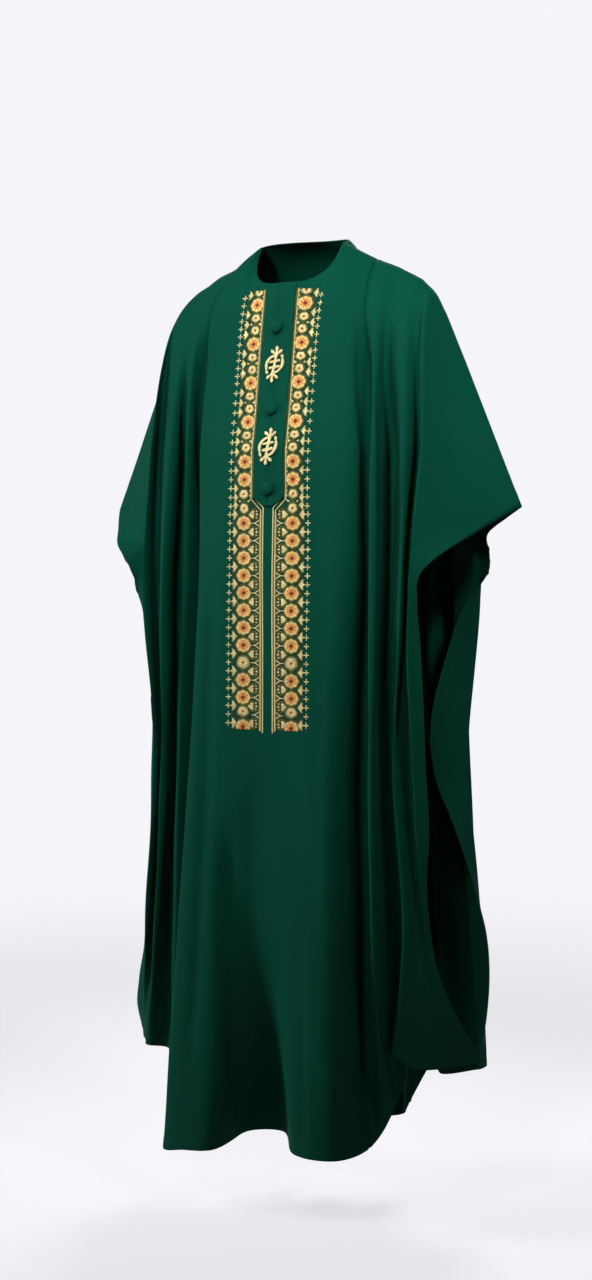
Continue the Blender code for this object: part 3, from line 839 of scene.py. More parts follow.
def apply_modifier(thing: bpy.types.Object, kind: str, **settings: object) -> None:
    """Add a modifier and apply it.

    Args:
        thing: the object.
        kind: the modifier's type.
        settings: its properties.
    """
    modifier = thing.modifiers.new(kind.lower(), kind)
    for name, value in settings.items():
        setattr(modifier, name, value)
    select(thing)
    bpy.ops.object.modifier_apply(modifier=modifier.name)


def grid_piece(name: str, points: np.ndarray, metres: np.ndarray, up: bool) -> bpy.types.Object:
    """Lay a sheet of quads on a grid of points.

    Args:
        name: the piece's name.
        points: columns by rows by 3.
        metres: columns by rows by 2, the cloth's own lengths for its weave.
        up: True where rows run against the outward side, as on the front.

    Returns:
        The piece.
    """
    if up:
        points, metres = points[:, ::-1], metres[:, ::-1]
    columns, rows = points.shape[0] - 1, points.shape[1] - 1
    deselect()
    bpy.ops.mesh.primitive_grid_add(x_subdivisions=columns, y_subdivisions=rows, size=2.0)
    piece = bpy.context.active_object
    piece.name = piece.data.name = name
    mesh = piece.data
    flat = np.empty(len(mesh.vertices) * 3)
    mesh.vertices.foreach_get("co", flat)
    place = (flat.reshape(-1, 3) + 1) / 2
    i = np.rint(place[:, 0] * columns).astype(int)
    j = np.rint(place[:, 1] * rows).astype(int)
    mesh.vertices.foreach_set("co", points[i, j].ravel())
    corner = np.empty(len(mesh.loops), int)
    mesh.loops.foreach_get("vertex_index", corner)
    mesh.uv_layers[0].data.foreach_set("uv", metres[i[corner], j[corner]].ravel())
    mesh.update()
    bpy.ops.object.shade_smooth()
    return piece


def cloth_piece(name: str, points: np.ndarray, metres: np.ndarray, up: bool,
                finishes: Finishes) -> bpy.types.Object:
    """Make a closed shell of cloth from its outer surface.

    Args:
        name: the piece's name.
        points: columns by rows by 3.
        metres: columns by rows by 2, the cloth's own lengths for its weave.
        up: True where rows run against the outward side, as on the front.
        finishes: the shared materials.

    Returns:
        The piece, in the robe's cloth.
    """
    piece = grid_piece(name, points, metres, up)
    piece.data.materials.append(finishes.get(ClothFinish()))
    apply_modifier(piece, "SOLIDIFY", thickness=CUT.cloth, offset=-1.0, use_rim=True)
    return piece


class Stitches:
    """Stitches of one thread, gathered and then made as one mesh.

    A stitch is a tapered three-sided thread: full_share is how much of its length has the full width,
    and side and rise are how far it reaches sideways and outward, as shares of that width.
    """

    full_share, side, rise = 0.80, 0.62, 0.42
    tone_middle, tone_spread = 0.5, 0.22

    def __init__(self, name: str, thread: Thread, seed: int = 3) -> None:
        """Start with no stitches; the seed varies their tones."""
        self.name, self.thread, self.rng = name, thread, np.random.default_rng(seed)
        self.parts: List[tuple] = []

    def lay(self, starts: np.ndarray, ends: np.ndarray, outs: np.ndarray, width: float) -> None:
        """Add stitches between points, each as wide as given, on the outward side."""
        if len(starts):
            self.parts.append((starts, ends, outs, np.full(len(starts), width)))

    def along(self, line: np.ndarray, outs: np.ndarray, stitch: float, gap: float, width: float) -> None:
        """Sew a line of even running stitches.

        Args:
            line: points of the line.
            outs: outward directions at the points.
            stitch: length of a stitch.
            gap: length between stitches.
            width: width of the thread.
        """
        run = np.concatenate([[0.0], np.cumsum(np.linalg.norm(np.diff(line, axis=0), axis=1))])
        begins = np.arange(0.0, run[-1] - stitch, stitch + gap)

        def read(at: np.ndarray, values: np.ndarray) -> np.ndarray:
            """Read values at lengths along the line."""
            return np.stack([np.interp(at, run, values[:, k]) for k in range(3)], axis=-1)

        self.lay(read(begins, line), read(begins + stitch, line), unit(read(begins, outs)), width)

    def build(self, finishes: Finishes) -> bpy.types.Object:
        """Make the joined mesh.

        Args:
            finishes: the shared materials.

        Returns:
            The piece, riding on the robe.
        """
        deselect()
        bpy.ops.mesh.primitive_cylinder_add(vertices=3, radius=1.0, depth=1.0, end_fill_type="TRIFAN")
        piece = bpy.context.active_object
        piece.name = self.name
        pattern = np.array([v.co[:] for v in piece.data.vertices])
        faces = [tuple(face.vertices) for face in piece.data.polygons]
        middle = np.linalg.norm(pattern[:, :2], axis=1) < SLACK
        along = np.where(middle, pattern[:, 2], pattern[:, 2] * self.full_share) + 0.5
        turn = math.pi / 2 - math.atan2(*pattern[~middle][0][1::-1])
        side = pattern[:, 0] * math.cos(turn) - pattern[:, 1] * math.sin(turn)
        rise = pattern[:, 0] * math.sin(turn) + pattern[:, 1] * math.cos(turn)
        starts, ends, outs, widths = (np.concatenate([part[k] for part in self.parts]) for k in range(4))
        across = unit(np.cross(ends - starts, outs))
        points = (starts[:, None] + (ends - starts)[:, None] * along[None, :, None]
                  + across[:, None] * side[None, :, None] * widths[:, None, None] * self.side
                  + outs[:, None] * rise[None, :, None] * widths[:, None, None] * self.rise)
        count, size = len(starts), len(pattern)
        mesh = bpy.data.meshes.new(self.name)
        mesh.from_pydata(points.reshape(-1, 3).tolist(), [],
                         [tuple(k * size + v for v in face) for k in range(count) for face in faces])
        tones = np.clip(self.rng.normal(self.tone_middle, self.tone_spread, count), 0, 1)
        tone = tones.repeat(size).astype(np.float32)
        mesh.attributes.new("tone", "FLOAT", "POINT").data.foreach_set("value", tone)
        old, piece.data = piece.data, mesh
        bpy.data.meshes.remove(old)
        piece.data.materials.append(finishes.get(ThreadFinish(self.thread)))
        select(piece)
        bpy.ops.object.shade_smooth()
        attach(piece, "root")
        LOG.info("%s: %d stitches", self.name, count)
        return piece


@dataclass
class ClothPanel:
    """One panel of the robe, between two fold lines of a draped sheet."""

    node: str
    drape: Drape
    first: int
    last: int
    flat: Tuple[float, float]
    area: float
    held: str = "draped"
    step_across: float = 0.0054
    step_down: float = 0.0072
    usual_drop: float = 1.30
    row_power: float = 1.12
    probe_rows: Tuple[float, ...] = (0.02, 0.12, 0.25, 0.4, 0.6, 0.8, 1.0)
    top_rows: Tuple[float, ...] = (0.0006, 0.0015)
    edge_row: float = 0.0006
    hem_rows: Tuple[float, ...] = (-0.0028, -0.0016, 0.0, 0.0008)
    least_columns: int = 4
    face_columns: int = 22
    face_coarser: float = 1.6
    hem: float = 0.015
    mouth_hem: float = 0.028
    hem_lift: float = 0.0005
    hem_slope: float = 0.001
    stitch_in: float = 0.002
    stitch_dip: float = 0.0004
    hem_dip_width: float = 0.0012
    mouth_dip_width: float = 0.0014
    hem_stitch: Tuple[float, float, float] = (0.0026, 0.0009, 0.0005)
    edge_round: Tuple[float, float] = (0.0006, 0.0018)
    seam_steps: Tuple[float, ...] = (0.0006, 0.0015, 0.0032)
    seam_groove: float = 0.0020
    seam_welt: Tuple[float, float, float] = (0.0005, 0.006, 0.003)
    crease_fade: float = 0.03
    crease_kept: float = 0.25
    sewn_heights: Tuple[float, float] = (0.272, 0.290)
    mouth_columns: int = 60
    mouth_first_row: int = 6
    mouth_lowest: float = 0.30
    mouth: Optional[Tuple[slice, int]] = None

    def places(self) -> np.ndarray:
        """Space the mesh's columns, with one fold line beyond the panel so that normals meet at seams.

        Returns:
            Rising places as counts of fold lines, with a few close to each seam.
        """
        first, last = max(self.first - 1, 0), min(self.last + 1, self.drape.lines - 1)
        marks = np.arange(first, last + 1).astype(float)
        probe = self.drape.middle(marks, np.array(self.probe_rows))
        widths = np.linalg.norm(np.diff(probe, axis=0), axis=2)
        result: List[float] = []
        for k, row in enumerate(widths):
            wide = np.sort(row)[-2]
            count = max(self.least_columns, math.ceil(wide / self.step_across))
            if first + k in (0, self.drape.lines - 2):
                count = max(self.face_columns, math.ceil(wide / (self.face_coarser * self.step_across)))
            result += [first + k + n / count for n in range(count)]
        result.append(float(last))
        mean = widths.mean(axis=1)
        for seam in (self.first, self.last):
            if first < seam < last:
                result += [seam + d / mean[seam - first] for d in self.seam_steps]
                result += [seam - d / mean[seam - first - 1] for d in self.seam_steps]
        return np.unique(np.round(result, 6))

    def downs(self) -> np.ndarray:
        """Space the rows of the panel's mesh.

        Returns:
            Rows from 0 at the shoulder to 1 at the hem, with a few close to both and to the hem's stitches.
        """
        count = round(self.usual_drop / self.step_down)
        rows = [(j / count) ** self.row_power for j in range(count + 1)]
        for above in [self.edge_row] + [self.hem + past for past in self.hem_rows]:
            rows.append(1 - above / self.usual_drop)
        rows += [below / self.usual_drop for below in self.top_rows]
        return np.unique(np.round(rows, 7))

    def hem_relief(self, distance: np.ndarray, hem: float, dip_width: float) -> np.ndarray:
        """Work out the relief of a turned hem: thicker cloth with a dip under its stitches.

        Args:
            distance: distances from the edge.
            hem: width of the hem.
            dip_width: how far the stitches pull the cloth in.

        Returns:
            How far the surface is lifted.
        """
        thicker = 1 - ramp(distance, hem - self.hem_slope, hem + self.hem_slope)
        return self.hem_lift * thicker - self.stitch_dip * bump(distance - hem + self.stitch_in, dip_width)

    def free_edge(self, middle: np.ndarray, at: int) -> np.ndarray:
        """Hem the free edge of a wing, and part it from the other sheet where both are sewn near the hem.

        Args:
            middle: the wing's middle surface, whose edge column is moved in place.
            at: the edge's column, 0 or -1.

        Returns:
            How far the hem lifts the surface.
        """
        near = slice(0, self.mouth_columns) if at == 0 else slice(-self.mouth_columns, None)
        patch = middle[near].reshape(-1, 1, 3)
        nearest = np.linalg.norm(patch - middle[at][None], axis=2).min(axis=1)
        distance = np.full(middle.shape[:2], FAR)
        distance[near] = nearest.reshape(distance[near].shape)
        self.mouth, self.mouth_distance = (near, at), distance
        sewn = 1 - ramp(middle[at, :, 2] + CUT.support, *self.sewn_heights)
        middle[at, :, 1] += self.drape.facing.value * sewn * CUT.seam_gap
        return self.hem_relief(distance, self.mouth_hem, self.mouth_dip_width)

    def shape(self) -> None:
        """Work out the panel's outer surface and its own lengths."""
        places, downs = self.places(), self.downs()
        middle = self.drape.middle(places, downs)
        out = self.drape.normals(middle)
        raised = self.drape.place_offsets(places, middle)
        own = (places > self.first - SLACK) & (places < self.last + SLACK)
        middle, out, raised = middle[own], out[own], raised[own]
        across, down = lengths(middle, 0), lengths(middle, 1)
        below = down[:, -1:] - down
        live = ramp(below, 0.0, self.crease_fade) * ramp(down, 0.0, self.crease_fade)
        lift = raised * mix(self.crease_kept, 1.0, live) + CUT.cloth / 2
        lift += self.hem_relief(below, self.hem, self.hem_dip_width)
        lift -= self.edge_round[0] * bump(down, self.edge_round[1])
        for at, is_seam in ((0, self.first > 0), (-1, self.last < self.drape.lines - 1)):
            if is_seam:
                far = np.abs(across - across[at])
                high, away, wide = self.seam_welt
                lift -= self.seam_groove * bump(far, self.seam_groove) - high * bump(far - away, wide)
            else:
                lift += self.free_edge(middle, at)
        on_ridge = np.abs(middle[:, 0, 0]) >= CUT.neck_half_width - 0.001
        middle[on_ridge, 0, 1] += self.drape.facing.value * CUT.seam_gap / 2
        self.out, self.below = out, below
        self.surface = middle + out * lift[:, :, None]
        self.metres = np.stack([across, down], axis=-1)

    def line_above_hem(self, distance: float) -> Tuple[np.ndarray, np.ndarray]:
        """Draw a line across the panel beside its hem.

        Args:
            distance: distance from the hem.

        Returns:
            The line's points and the outward directions there.
        """
        line, outs = [], []
        for column, out, below in zip(self.surface, self.out, self.below):
            line.append([np.interp(distance, below[::-1], column[::-1, k]) for k in range(3)])
            outs.append([np.interp(distance, below[::-1], out[::-1, k]) for k in range(3)])
        return np.array(line), np.array(outs)

    def line_inside_mouth(self, distance: float) -> Tuple[np.ndarray, np.ndarray]:
        """Draw a line down a wing beside its free edge.

        Args:
            distance: distance from the edge.

        Returns:
            The line's points and the outward directions there.
        """
        near, at = self.mouth
        order = slice(None) if at == 0 else slice(None, None, -1)
        far, points, outs = (values[near][order] for values in (self.mouth_distance, self.surface, self.out))
        line, away = [], []
        for j in range(self.mouth_first_row, far.shape[1]):
            if points[0, j, 2] + CUT.support < self.mouth_lowest:
                break
            run = np.maximum.accumulate(far[:, j])
            line.append([np.interp(distance, run, points[:, j, k]) for k in range(3)])
            away.append([np.interp(distance, run, outs[:, j, k]) for k in range(3)])
        return np.array(line), np.array(away)

    def build(self, finishes: Finishes) -> bpy.types.Object:
        """Make the panel and its hem stitches.

        Args:
            finishes: the shared materials.

        Returns:
            The panel's cloth.
        """
        self.shape()
        piece = cloth_piece("cloth_" + self.node, self.surface, self.metres,
                            self.drape.facing is Facing.FRONT, finishes)
        sewn = Stitches("stitches_" + self.node, Thread.GREEN)
        lines = [self.line_above_hem(self.hem - self.stitch_in)]
        if self.mouth is not None:
            lines.append(self.line_inside_mouth(self.mouth_hem - self.stitch_in))
        for line, outs in lines:
            sewn.along(line + outs * THREAD_LIFT, outs, *self.hem_stitch)
        sewn.build(finishes)
        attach(piece, "root")
        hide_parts(self.node)
        LOG.info("%s: %d faces", piece.name, len(piece.data.polygons))
        return piece


class FrontSurface:
    """The outer surface of the front centre panel as a chart that is read by x and height."""

    half_width, step, reach = 0.082, 0.002, 0.003
    lowest, highest = 0.55, 1.515
    last_cell = 1.001

    def __init__(self, panel: ClothPanel) -> None:
        """Chart the panel's surface.

        Args:
            panel: the front centre panel, already shaped.
        """
        self.xs = np.arange(-self.half_width, self.half_width + self.step / 2, self.step)
        self.heights = np.arange(self.lowest, self.highest, self.step)
        rows = panel.surface.shape[1]
        y, z = np.empty((len(self.xs), rows)), np.empty((len(self.xs), rows))
        for j in range(rows):
            line = panel.surface[:, j]
            y[:, j], z[:, j] = (np.interp(self.xs, line[:, 0], line[:, k]) for k in (1, 2))
        self.tops = z[:, 0] + CUT.support
        self.chart = np.array([np.interp(-self.heights, -(z[i] + CUT.support), y[i])
                               for i in range(len(self.xs))])

    def depth(self, x: np.ndarray, height: np.ndarray) -> np.ndarray:
        """Read the surface's y.

        Args:
            x: distances to the wearer's left.
            height: heights above the wearer's floor.

        Returns:
            The y at each place.
        """
        i = np.clip((x - self.xs[0]) / self.step, 0, len(self.xs) - self.last_cell)
        j = np.clip((height - self.heights[0]) / self.step, 0, len(self.heights) - self.last_cell)
        i0, j0 = i.astype(int), j.astype(int)
        s, t = i - i0, j - j0
        low = mix(self.chart[i0, j0], self.chart[i0 + 1, j0], s)
        high = mix(self.chart[i0, j0 + 1], self.chart[i0 + 1, j0 + 1], s)
        return mix(low, high, t)

    def lift(self, x: np.ndarray, height: np.ndarray, lift: object) -> Tuple[np.ndarray, np.ndarray]:
        """Find points at a distance off the surface.

        Args:
            x: distances to the wearer's left.
            height: heights above the wearer's floor.
            lift: how far off the surface.

        Returns:
            The points in the robe's frame, and the outward directions there.
        """
        x, height, reach = np.asarray(x, float), np.asarray(height, float), self.reach
        slope_x = (self.depth(x + reach, height) - self.depth(x - reach, height)) / (2 * reach)
        slope_z = (self.depth(x, height + reach) - self.depth(x, height - reach)) / (2 * reach)
        out = unit(np.stack([slope_x, -np.ones_like(x), slope_z], axis=-1))
        point = np.stack([x, self.depth(x, height), height - CUT.support], axis=-1)
        return point + out * np.asarray(lift)[..., None], out

    def top_at(self, x: float) -> float:
        """Find the neckline's height at x."""
        return float(np.interp(x, self.xs, self.tops))


@dataclass
class Placket:
    """The two halves of the button band on the front centre panel."""

    surface: FrontSurface
    half_width: float = 0.027
    end_half_width: float = 0.0075
    corner_height: float = 1.154
    end_height: float = 1.140
    overlap: float = 0.0010
    columns: int = 14
    rows: int = 130
    topstitch: float = 0.0022
    stitch: Tuple[float, float, float] = (0.0022, 0.0008, 0.00045)
    rim_round: float = 0.0007
    near_rim: float = 0.0009
    far_rim: float = 0.0008
    stitch_dip: float = 0.0003
    wave_size: float = 0.00025
    waves: Tuple[float, float] = (95, 130)
    buttonhole_x: float = 0.0035
    buttonhole_half: float = 0.0115
    buttonhole_side: float = 0.0012
    buttonhole_bar: float = 0.0009
    buttonhole_pitch: float = 0.0006

    def relief(self, reach: float, heights: np.ndarray) -> np.ndarray:
        """Work out the band's small relief: round rims, a dip under the topstitching and faint waves.

        Args:
            reach: distance from the centre line.
            heights: heights above the wearer's floor.

        Returns:
            How far its face is lifted.
        """
        near, far = np.array(reach), np.array(reach - self.half_width)
        rim = self.rim_round * (bump(near, 0.0012) + bump(far, 0.0010))
        dip = self.stitch_dip * bump(np.array(reach - self.topstitch), 0.0010)
        turn = heights * self.waves[0] + reach * self.waves[1]
        return self.wave_size * np.sin(turn) * ramp(near, 0.0, 0.01) - rim - dip

    def half(self, name: str, side: int, finishes: Finishes) -> bpy.types.Object:
        """Make one half.

        Args:
            name: the CAD node that it stands for.
            side: 1 on the wearer's left, -1 on their right.
            finishes: the shared materials.

        Returns:
            The cloth of the half.
        """
        over = self.overlap if side > 0 else 0.0
        reaches = np.unique(np.concatenate([np.linspace(CUT.seam_gap / 2, self.half_width, self.columns),
                                            [self.near_rim, self.half_width - self.far_rim]]))
        if side < 0:
            reaches = reaches[::-1]
        grid = np.empty((len(reaches), self.rows + 1, 3))
        metres = np.empty((len(reaches), self.rows + 1, 2))
        for k, reach in enumerate(reaches):
            taper = (reach - self.end_half_width) / (self.half_width - self.end_half_width)
            bottom = mix(self.end_height, self.corner_height, max(0.0, taper))
            heights = np.linspace(self.surface.top_at(side * reach) - CUT.seam_gap, bottom, self.rows + 1)
            x = np.full_like(heights, side * reach)
            lift = CUT.seam_gap + over + CUT.cloth + self.relief(reach, heights)
            grid[k] = self.surface.lift(x, heights, lift)[0]
            metres[k] = np.stack([x, heights], axis=-1)
        piece = cloth_piece("cloth_" + name, grid, metres, True, finishes)
        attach(piece, "root")
        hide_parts(name)
        return piece

    def top_lift(self) -> float:
        """Find how far the band's outer face stands off the panel."""
        return CUT.seam_gap + self.overlap + CUT.cloth

    def build(self, finishes: Finishes, buttons: Sequence[float]) -> None:
        """Make both halves with their topstitching and buttonholes.

        Args:
            finishes: the shared materials.
            buttons: heights of the buttons.
        """
        self.half("placket_under", -1, finishes)
        self.half("placket_over", 1, finishes)
        sewn = Stitches("stitches_placket", Thread.GREEN, 5)
        for reach, over in ((self.topstitch, 1), (self.half_width - self.topstitch, 1),
                            (-self.half_width + self.topstitch, 0)):
            heights = np.arange(self.surface.top_at(reach) - 0.006, self.corner_height + 0.004, -0.001)
            lift = self.top_lift() - (0 if over else self.overlap) + THREAD_LIFT
            points, outs = self.surface.lift(np.full_like(heights, reach), heights, lift)
            sewn.along(points, outs, *self.stitch)
        half, bar, pitch = self.buttonhole_half, self.buttonhole_bar, self.buttonhole_pitch
        rows = np.arange(-half, half + pitch / 6, pitch)
        lift = self.top_lift() + THREAD_LIFT
        for height in buttons:
            for offset in (-self.buttonhole_side, self.buttonhole_side):
                x = np.full_like(rows, self.buttonhole_x + offset)
                low, outs = self.surface.lift(x - bar, height + rows, lift)
                high, _ = self.surface.lift(x + bar, height + rows, lift)
                sewn.lay(low, high, outs, pitch)
        sewn.build(finishes)


@dataclass
class CoveredButton:
    """A small domed button covered in the robe's own cloth."""

    node: str
    height: float
    radius: float = 0.0105
    thickness: float = 0.0065
    seat: float = 0.0005
    back: float = 0.0016
    segments: int = 64
    rings: int = 28
    dome_power: float = 0.92
    under_depth: float = 0.30
    under_power: float = 0.6
    rim: Tuple[float, float, float] = (0.98, 0.16, 0.35)
    puckers: int = 16
    pucker_size: float = 0.018
    pucker_dip: float = 0.05

    def build(self, surface: FrontSurface, lift: float, finishes: Finishes) -> bpy.types.Object:
        """Make the button on the placket.

        Args:
            surface: the front panel's surface.
            lift: how far the placket stands off it.
            finishes: the shared materials.

        Returns:
            The button.
        """
        deselect()
        bpy.ops.mesh.primitive_uv_sphere_add(segments=self.segments, ring_count=self.rings, radius=1.0)
        piece = bpy.context.active_object
        piece.name = piece.data.name = "covered_" + self.node
        co = np.array([v.co[:] for v in piece.data.vertices])
        reach = np.hypot(co[:, 0], co[:, 1])
        turn = np.arctan2(co[:, 1], co[:, 0])
        high = np.abs(co[:, 2])
        rise = np.where(co[:, 2] > 0, high ** self.dome_power, -self.under_depth * high ** self.under_power)
        at, width, highest = self.rim
        rim = bump(reach - at, width) * (co[:, 2] < highest)
        wide = self.radius * (1 + self.pucker_size * np.sin(turn * self.puckers) * rim)
        tall = (rise * (self.thickness - self.back) + self.back) * (1 - self.pucker_dip * rim)
        local = np.stack([co[:, 0] * wide, co[:, 1] * wide, tall], axis=-1)
        point, out = surface.lift(np.array([0.0]), np.array([self.height]), lift + self.seat)
        frame = np.array(Vector(out[0]).to_track_quat("Z", "Y").to_matrix())
        placed = local @ frame.T + point[0]
        piece.location = (0, 0, 0)
        piece.data.vertices.foreach_set("co", placed.ravel())
        piece.data.update()
        uv = piece.data.uv_layers[0].data
        corner = np.empty(len(piece.data.loops), int)
        piece.data.loops.foreach_get("vertex_index", corner)
        uv.foreach_set("uv", local[corner, :2].ravel())
        bpy.ops.object.shade_smooth()
        piece.data.materials.append(finishes.get(ClothFinish()))
        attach(piece, "root")
        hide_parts(self.node)
        LOG.info("%s at %.3f", piece.name, self.height)
        return piece


def polar(centre: Point, reach: float, angle: float) -> Point:
    """Find the point at a reach and an angle from a centre."""
    return centre[0] + reach * math.cos(angle), centre[1] + reach * math.sin(angle)


def around(centre: Point, reach: Callable[[float], float], count: int) -> List[Point]:
    """Draw a closed outline round a centre.

    Args:
        centre: the centre.
        reach: distance from it by angle.
        count: how many steps make one turn.

    Returns:
        The outline's points, the first repeated at the end.
    """
    angles = [2 * math.pi * k / count for k in range(count + 1)]
    return [polar(centre, reach(a), a) for a in angles]


class Motif:
    """Stitches drawn flat in mm, then laid on the robe: x is the distance from the centre line."""

    bed, tone_seed = 0.00022, 17
    least_stitch, wobble, least_ray, ray_wobble = 0.35, 0.15, 0.3, 0.2

    def __init__(self, seed: int = 11) -> None:
        """Start with no stitches; the seed varies their lengths."""
        self.drawn: Dict[Thread, List[tuple]] = {}
        self.rng = np.random.default_rng(seed)

    def stitch(self, thread: Thread, a: Point, b: Point, width: float, layer: float) -> None:
        """Add one stitch from a to b, of a width and a height above the bed."""
        self.drawn.setdefault(thread, []).append((*a, *b, width, layer))

    def satin(self, thread: Thread, path: Sequence[tuple], pitch: float = 0.75, width: float = 0.95,
              layer: float = 0.0, slant: float = 0.0) -> None:
        """Add a satin column.

        Args:
            thread: the thread.
            path: x, y and the column's full width at points along it.
            pitch: distance between stitches.
            width: thread width.
            layer: how high it lies.
            slant: how far one end of each stitch runs ahead of the other.
        """
        line = np.array(path, float)
        steps = np.hypot(*np.diff(line[:, :2], axis=0).T)
        run = np.concatenate([[0.0], np.cumsum(steps)])
        at = np.arange(pitch / 2, run[-1], pitch)
        x, y, wide = (np.interp(at, run, line[:, k]) for k in range(3))
        probe = 0.3
        ahead = np.stack([np.interp(at + probe, run, line[:, k]) - np.interp(at - probe, run, line[:, k])
                          for k in range(2)], axis=-1)
        ahead /= np.maximum(np.hypot(*ahead.T)[:, None], TINY)
        side = np.stack([-ahead[:, 1], ahead[:, 0]], axis=-1) * wide[:, None] / 2
        lead = ahead * slant
        for px, py, s, l in zip(x, y, side, lead):
            start, end = (px - s[0] - l[0], py - s[1] - l[1]), (px + s[0] + l[0], py + s[1] + l[1])
            self.stitch(thread, start, end, width, layer)

    def line(self, thread: Thread, path: Sequence[Point], width: float = 1.0, length: float = 2.4,
             layer: float = 0.0) -> None:
        """Add stitches end to end along a path.

        Args:
            thread: the thread.
            path: points along it.
            width: thread width.
            length: about how long each stitch is.
            layer: how high it lies.
        """
        line = np.array(path, float)
        run = np.concatenate([[0.0], np.cumsum(np.hypot(*np.diff(line, axis=0).T))])
        count = max(1, round(run[-1] / length))
        at = np.linspace(0, run[-1], count + 1)
        x, y = np.interp(at, run, line[:, 0]), np.interp(at, run, line[:, 1])
        for k in range(count):
            self.stitch(thread, (x[k], y[k]), (x[k + 1], y[k + 1]), width, layer)

    def fill(self, thread: Thread, shape: Sequence[Point], angle: float = 0.0, pitch: float = 0.75,
             width: float = 0.95, layer: float = 0.0) -> None:
        """Fill a closed shape with parallel stitches.

        Args:
            thread: the thread.
            shape: corners of the shape.
            angle: direction of the stitches, in degrees.
            pitch: distance between stitches.
            width: thread width.
            layer: how high they lie.
        """
        turn = math.radians(angle)
        spin = np.array([[math.cos(turn), math.sin(turn)], [-math.sin(turn), math.cos(turn)]])
        turned = np.array(shape, float) @ spin.T
        for y in np.arange(turned[:, 1].min() + pitch / 2, turned[:, 1].max(), pitch):
            hits = []
            for a, b in zip(turned, np.roll(turned, -1, axis=0)):
                if (a[1] <= y) != (b[1] <= y):
                    hits.append(a[0] + (b[0] - a[0]) * (y - a[1]) / (b[1] - a[1]))
            hits.sort()
            for x0, x1 in zip(hits[::2], hits[1::2]):
                if x1 - x0 > self.least_stitch:
                    wobble = self.rng.uniform(-self.wobble, self.wobble, 2)
                    a = np.array([x0 + wobble[0], y]) @ spin
                    b = np.array([x1 + wobble[1], y]) @ spin
                    self.stitch(thread, tuple(a), tuple(b), width, layer)

    def rays(self, thread: Thread, centre: Point, inner: Callable[[float], float],
             outer: Callable[[float], float], count: int, width: float = 0.95, layer: float = 0.0) -> None:
        """Add stitches that radiate from a centre.

        Args:
            thread: the thread.
            centre: the centre.
            inner: distance at which they start, by angle.
            outer: distance at which they end, by angle.
            count: number of stitches.
            width: thread width.
            layer: how high they lie.
        """
        for k in range(count):
            angle = 2 * math.pi * (k + 0.5) / count
            start, end = inner(angle), outer(angle) + self.rng.uniform(-self.ray_wobble, self.ray_wobble)
            if end > start + self.least_ray:
                self.stitch(thread, polar(centre, start, angle), polar(centre, end, angle), width, layer)

    def lay(self, surface: FrontSurface, name: str, side: int, base: float, finishes: Finishes) -> None:
        """Sew the drawing on the robe.

        Args:
            surface: the front panel's surface.
            name: the start of the pieces' names.
            side: 1 on the wearer's left, -1 mirrored to their right.
            base: how far its ground stands off the panel.
            finishes: the shared materials.
        """
        for thread, rows in self.drawn.items():
            table = np.array(rows)
            lift = base + self.bed + table[:, 5] * MM
            starts, outs = surface.lift(side * table[:, 0] * MM, table[:, 1] * MM, lift)
            ends, _ = surface.lift(side * table[:, 2] * MM, table[:, 3] * MM, lift)
            sewn = Stitches(f"{name}_{thread.name.lower()}", thread, self.tone_seed + side)
            for width in np.unique(table[:, 4]):
                chosen = table[:, 4] == width
                sewn.lay(starts[chosen], ends[chosen], outs[chosen], width * MM)
            piece = sewn.build(finishes)


def moved(shape: Sequence[Point], x: float, y: float, flip: float = 1.0, scale: float = 1.0) -> List[Point]:
    """Move a shape to x and y, mirrored in x where flip is -1."""
    return [(x + flip * scale * a, y + scale * b) for a, b in shape]


# Upper halves of the small motifs about a level line, and one whole square.
ARROW = ((-6.3, 0.0), (-3.4, 2.6), (-0.6, 6.2), (1.6, 8.2), (3.6, 8.4), (2.9, 5.2), (2.7, 2.6), (5.4, 1.1),
         (5.4, 0.0))
TULIP = ((-8.4, 0.0), (-4.2, 3.0), (-1.0, 6.0), (2.4, 6.6), (3.4, 4.2), (1.8, 2.4), (2.8, 0.0))
BUD = ((-3.2, 0.0), (2.2, 3.4), (2.8, 0.0))
SPIKE = ((-3.0, 0.0), (0.0, 2.2), (2.4, 0.0))
SQUARE = ((-1.1, -1.1), (1.1, -1.1), (1.1, 1.1), (-1.1, 1.1))


